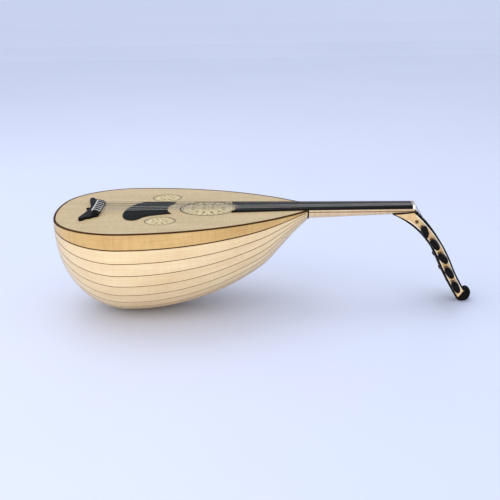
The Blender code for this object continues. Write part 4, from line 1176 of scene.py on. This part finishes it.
def make_finial():
    """Black scroll capping the pegbox's end: it swells forward into a knob with an eye."""
    outline = [tuple(p) for p in through(FINIAL_OUTLINE + FINIAL_OUTLINE[:1], 5)[:-1]]
    cx, cz = FINIAL_CENTRE
    sections = []
    for share, size in ((-1.0, 0.60), (-0.985, 0.78), (-0.93, 0.90), (-0.82, 0.97), (-0.60, 1.0),
                        (0.0, 1.0), (0.60, 1.0), (0.82, 0.97), (0.93, 0.90), (0.985, 0.78),
                        (1.0, 0.60)):
        loop = []
        for x, z in outline:
            narrow = min(1.0, max(0.0, (x - FINIAL_NARROW_FROM) / FINIAL_NARROW_LENGTH))
            half_width = FINIAL_HALF_WIDTH - FINIAL_NARROWING * narrow
            loop.append((cx + (x - cx) * size, share * half_width, cz + (z - cz) * size))
        sections.append(loop)
    put(loft("finial_scroll", sections), EBONY, ["finial"], angle=60)
    x, z = EYE_PLACE
    turns = spread(0.0, 2.6 * math.pi, 40)
    for side, where in SIDES:
        eye = [(x + (EYE_RADIUS - EYE_CLOSING * a) * math.cos(a), side * (0.0092 + 0.00004 * a),
                z + (EYE_RADIUS - EYE_CLOSING * a) * math.sin(a)) for a in turns]
        radii = [0.0006 - 0.00005 * a for a in turns]
        put(tube(f"finial_eye_{where}", eye, radii, 8), EBONY, angle=80)


def make_peg(index):
    """Turned rosewood shaft with a collar, and a black thumb piece; both turn with the peg."""
    x, z = PEG_PLACES[index]
    half_width = pegbox_half_width(x, z)
    collar = half_width + PEG_NECK_LENGTH
    tip = -half_width - PEG_TIP_PROJECTION
    shaft = [(0.0002, tip - 0.0008), (peg_radius(half_width, tip) * 0.72, tip - 0.0006),
             (peg_radius(half_width, tip), tip)]
    shaft += [(peg_radius(half_width, y), y) for y in spread(tip, collar - 0.004, 10)[1:]]
    shaft += [(COLLAR_EDGE_RADIUS, collar - 0.0034), (COLLAR_RADIUS, collar - 0.0026),
              (COLLAR_RADIUS, collar - 0.0016), (COLLAR_EDGE_RADIUS, collar - 0.0008),
              (COLLAR_EDGE_RADIUS, collar)]
    sections = [[(r * math.cos(a), r * math.sin(a), y)
                 for a in spread(0.0, 2 * math.pi, 28)[:-1]] for r, y in shaft]
    rotation = (-peg_side(index) * math.pi / 2, math.radians(PEG_TURNS[index]), 0.0)
    body = f"peg_{index + 1:02d}"
    turned = loft(f"peg_shaft_{index + 1:02d}", sections)

    wide, thick = PEG_HEAD_WIDTH / 2, PEG_HEAD_THICKNESS / 2
    outline = ((0.0, 0.42, 0.70), (0.07, 0.52, 0.82), (0.16, 0.70, 0.95), (0.28, 0.89, 1.00),
               (0.42, 0.99, 0.97), (0.56, 1.00, 0.91), (0.70, 0.95, 0.83), (0.82, 0.83, 0.73),
               (0.91, 0.65, 0.60), (0.97, 0.38, 0.40), (1.0, 0.03, 0.04))
    head = [tuple(p) for p in through(outline, 4)]
    loops = []
    for share, a_share, b_share in head:
        loop = []
        for a in spread(0.0, 2 * math.pi, 32)[:-1]:
            cos, sin = math.cos(a), math.sin(a)
            hollow = 1 - PEG_HEAD_HOLLOW * math.sin(math.pi * min(1.0, share)) * abs(sin) ** 3
            loop.append((wide * a_share * math.copysign(abs(cos) ** 0.9, cos),
                         thick * b_share * hollow * math.copysign(abs(sin) ** 0.9, sin),
                         collar + PEG_HEAD_LENGTH * share))
        loops.append(loop)
    thumb = loft(f"peg_head_{index + 1:02d}", loops)
    for obj, finish in ((turned, ROSEWOOD), (thumb, EBONY)):
        obj.location = (x, 0.0, z)
        obj.rotation_euler = rotation
        put(obj, finish, [body] if obj is turned else (), body, 45)


# ---------------------------------------------------------------- the strings
def string_y(index, spread_half, pair_half_gap):
    """Place of a string across the instrument: five pairs from the treble side, one single."""
    course, second = divmod(index, 2)
    y = -spread_half + course * 2 * spread_half / 5
    if index == STRING_COUNT - 1:
        return y
    return y + (pair_half_gap if second else -pair_half_gap)


def string_peg(index):
    """Peg of a string, so that outer strings go to the pegs furthest from the nut."""
    treble_pegs = STRING_COUNT // 2
    if index < treble_pegs:
        return 2 * (treble_pegs - 1 - index) + 1
    return 2 * (index - treble_pegs)


def turn_of(a, b, c):
    """Positive when the path a, b, c turns left."""
    return (b[0] - a[0]) * (c[1] - b[1]) - (b[1] - a[1]) * (c[0] - b[0])


def taut_route(first, target, winding_radius):
    """Side view of a string from the nut over the pegs in front of its own, as if pulled."""
    route = [first]
    clear = PEG_HEAD_RADIUS + STRING_CLEARANCE
    for before, here in zip(PEG_PLACES[:target], PEG_PLACES[1:target + 1]):
        dx, dz = here[0] - before[0], here[1] - before[1]
        size = math.hypot(dx, dz)
        route.append((before[0] - clear * dz / size, before[1] + clear * dx / size))
    centre = PEG_PLACES[target]
    hull = []
    for point in route + [centre]:
        while len(hull) > 1 and turn_of(hull[-2], hull[-1], point) > 0:
            hull.pop()
        hull.append(point)
    hull.pop()
    dx, dz = hull[-1][0] - centre[0], hull[-1][1] - centre[1]
    touch = math.atan2(dz, dx) - math.acos(winding_radius / math.hypot(dx, dz))
    return hull, touch


def make_string(index):
    """Bridge hole to nut, down over other pegs to its own and round it."""
    course = index // 2
    radius = STRING_RADII[course]
    bridge_y = string_y(index, *AT_BRIDGE)
    nut_y = string_y(index, *AT_NUT)
    nut_z = NUT_TOP - 0.0001 + radius * 0.4
    points = [(BRIDGE_BACK + 0.001, bridge_y, TIE_HEIGHT), (BRIDGE_FRONT, bridge_y, TIE_HEIGHT),
              (NECK_LENGTH - NUT_LENGTH, nut_y, nut_z), (NECK_LENGTH - 0.0002, nut_y, nut_z)]

    target = string_peg(index)
    x, z = PEG_PLACES[target]
    half_width = pegbox_half_width(x, z)
    outermost = half_width - CHEEK_THICKNESS - WINDING_MARGIN
    lane = nut_y * outermost / (NUT_HALF_WIDTH - CHEEK_THICKNESS)
    winding = peg_radius(half_width, peg_side(target) * lane) + radius
    hull, touch = taut_route((NECK_LENGTH + 0.0006, nut_z - 0.0005), target, winding)
    run = hull + [(x + winding * math.cos(touch), z + winding * math.sin(touch))]
    lengths = [math.dist(a, b) for a, b in zip(run, run[1:])]
    done = 0.0
    for (px, pz), length in zip(run, lengths + [0.0]):
        points.append((px, nut_y + (lane - nut_y) * done / sum(lengths), pz))
        done += length
    towards_middle = -1 if lane > 0 else 1
    sides = 20
    pitch = WINDING_PITCH * radius
    for i in range(1, round(WINDING_TURNS * sides) + 1):
        angle = touch - 2 * math.pi * i / sides
        points.append((x + winding * math.cos(angle), lane + towards_middle * pitch * i / sides,
                       z + winding * math.sin(angle)))
    finish = WOUND if course >= FIRST_WOUND_COURSE else NYLON
    put(tube(f"played_string_{index + 1:02d}", points, radius, 10), finish,
        [f"string_{index + 1:02d}"], angle=80)


# ---------------------------------------------------------------- the inside
def dress_inner_parts():
    """Bare spruce on the braces and blocks, whose CAD shapes stay."""
    for node in ("brace_frame", "neck_block", "tail_block"):
        obj = frame["nodes"][node]
        obj.data.materials.clear()
        obj.data.materials.append(INNER_FINISH)


# ---------------------------------------------------------------- floor, light and camera
def make_floor():
    """Pale paper sweep: level under the instrument and rising far behind it."""
    depths = [-12.0] + spread(0.0, 6.0, 20) + [7.0]
    sections = []
    for y in depths:
        rise = max(0.0, y - 4.0)
        sections.append([(x, y, rise * rise * 0.25) for x in (-12.0, 12.0)])
    bm = bmesh.new()
    rows = [[bm.verts.new(p) for p in section] for section in sections]
    for (a, b), (c, d) in zip(rows, rows[1:]):
        bm.faces.new((a, b, d, c))
    floor = mesh_object("paper_floor", bm)
    floor.data.materials.append(backdrop_paint("studio_paper", (0.70, 0.74, 0.88),
                                               (0.68, 0.72, 0.865)))
    bpy.context.scene.collection.objects.link(floor)


def area_light(name, place, aim, size, power, colour):
    """Square soft box; returns its light data."""
    data = bpy.data.lights.new(name, "AREA")
    data.shape = "SQUARE"
    data.size = size
    data.energy = power
    data.color = colour
    lamp = bpy.data.objects.new(name, data)
    lamp.location = place
    lamp.rotation_euler = (Vector(aim) - Vector(place)).to_track_quat("-Z", "Y").to_euler()
    bpy.context.scene.collection.objects.link(lamp)
    return data


def make_lights():
    """Big box on the left, one overhead, a long low card in front, and a pale surround."""
    area_light("key_box", (-1.6, -1.6, 1.7), (-0.1, 0.0, 0.0), 1.8, 12, (1.0, 0.975, 0.93))
    area_light("top_box", (-0.9, 0.7, 2.4), (0.0, 0.0, 0.1), 2.0, 17, (0.98, 0.98, 0.98))
    card = area_light("bounce_card", (-0.2, -2.8, 0.16), (-0.25, 0.0, 0.09), 2.6, 32,
                      (1.0, 0.96, 0.90))
    card.shape = "RECTANGLE"
    card.size_y = 0.3
    world = bpy.data.worlds.new("surround")
    world.use_nodes = True
    background = world.node_tree.nodes["Background"]
    background.inputs["Color"].default_value = (0.84, 0.89, 1.0, 1.0)
    background.inputs["Strength"].default_value = 0.97
    bpy.context.scene.world = world
    bpy.context.scene.view_settings.view_transform = "Standard"


def make_camera():
    """Long lens in front of the body, looking down at it; angles in radians."""
    yaw, pitch, roll = -0.009475, 0.289824, -0.016837
    place = DATUM + Vector((-0.09185, -1.91057, 0.48675))
    forward = Vector((math.sin(yaw) * math.cos(pitch), math.cos(yaw) * math.cos(pitch),
                      -math.sin(pitch)))
    level = Vector((math.cos(yaw), -math.sin(yaw), 0.0))
    lift = level.cross(forward)
    right = level * math.cos(roll) + lift * math.sin(roll)
    up = lift * math.cos(roll) - level * math.sin(roll)
    data = bpy.data.cameras.new("camera")
    data.sensor_width = 36.0
    data.lens = 75.3
    camera = bpy.data.objects.new("camera", data)
    axes = Matrix((right, up, -forward)).transposed().to_4x4()
    camera.matrix_world = Matrix.Translation(place) @ axes
    bpy.context.scene.collection.objects.link(camera)
    bpy.context.scene.camera = camera


make_camera()
make_floor()
make_lights()
make_ribs()
make_purfling()
make_tail_cap()
make_soundboard()
make_rosettes()
make_pickguard()
make_bridge()
make_neck()
make_fingerboard()
make_nut()
make_pegbox()
make_finial()
for number in range(len(PEG_PLACES)):
    make_peg(number)
for number in range(STRING_COUNT):
    make_string(number)
dress_inner_parts()
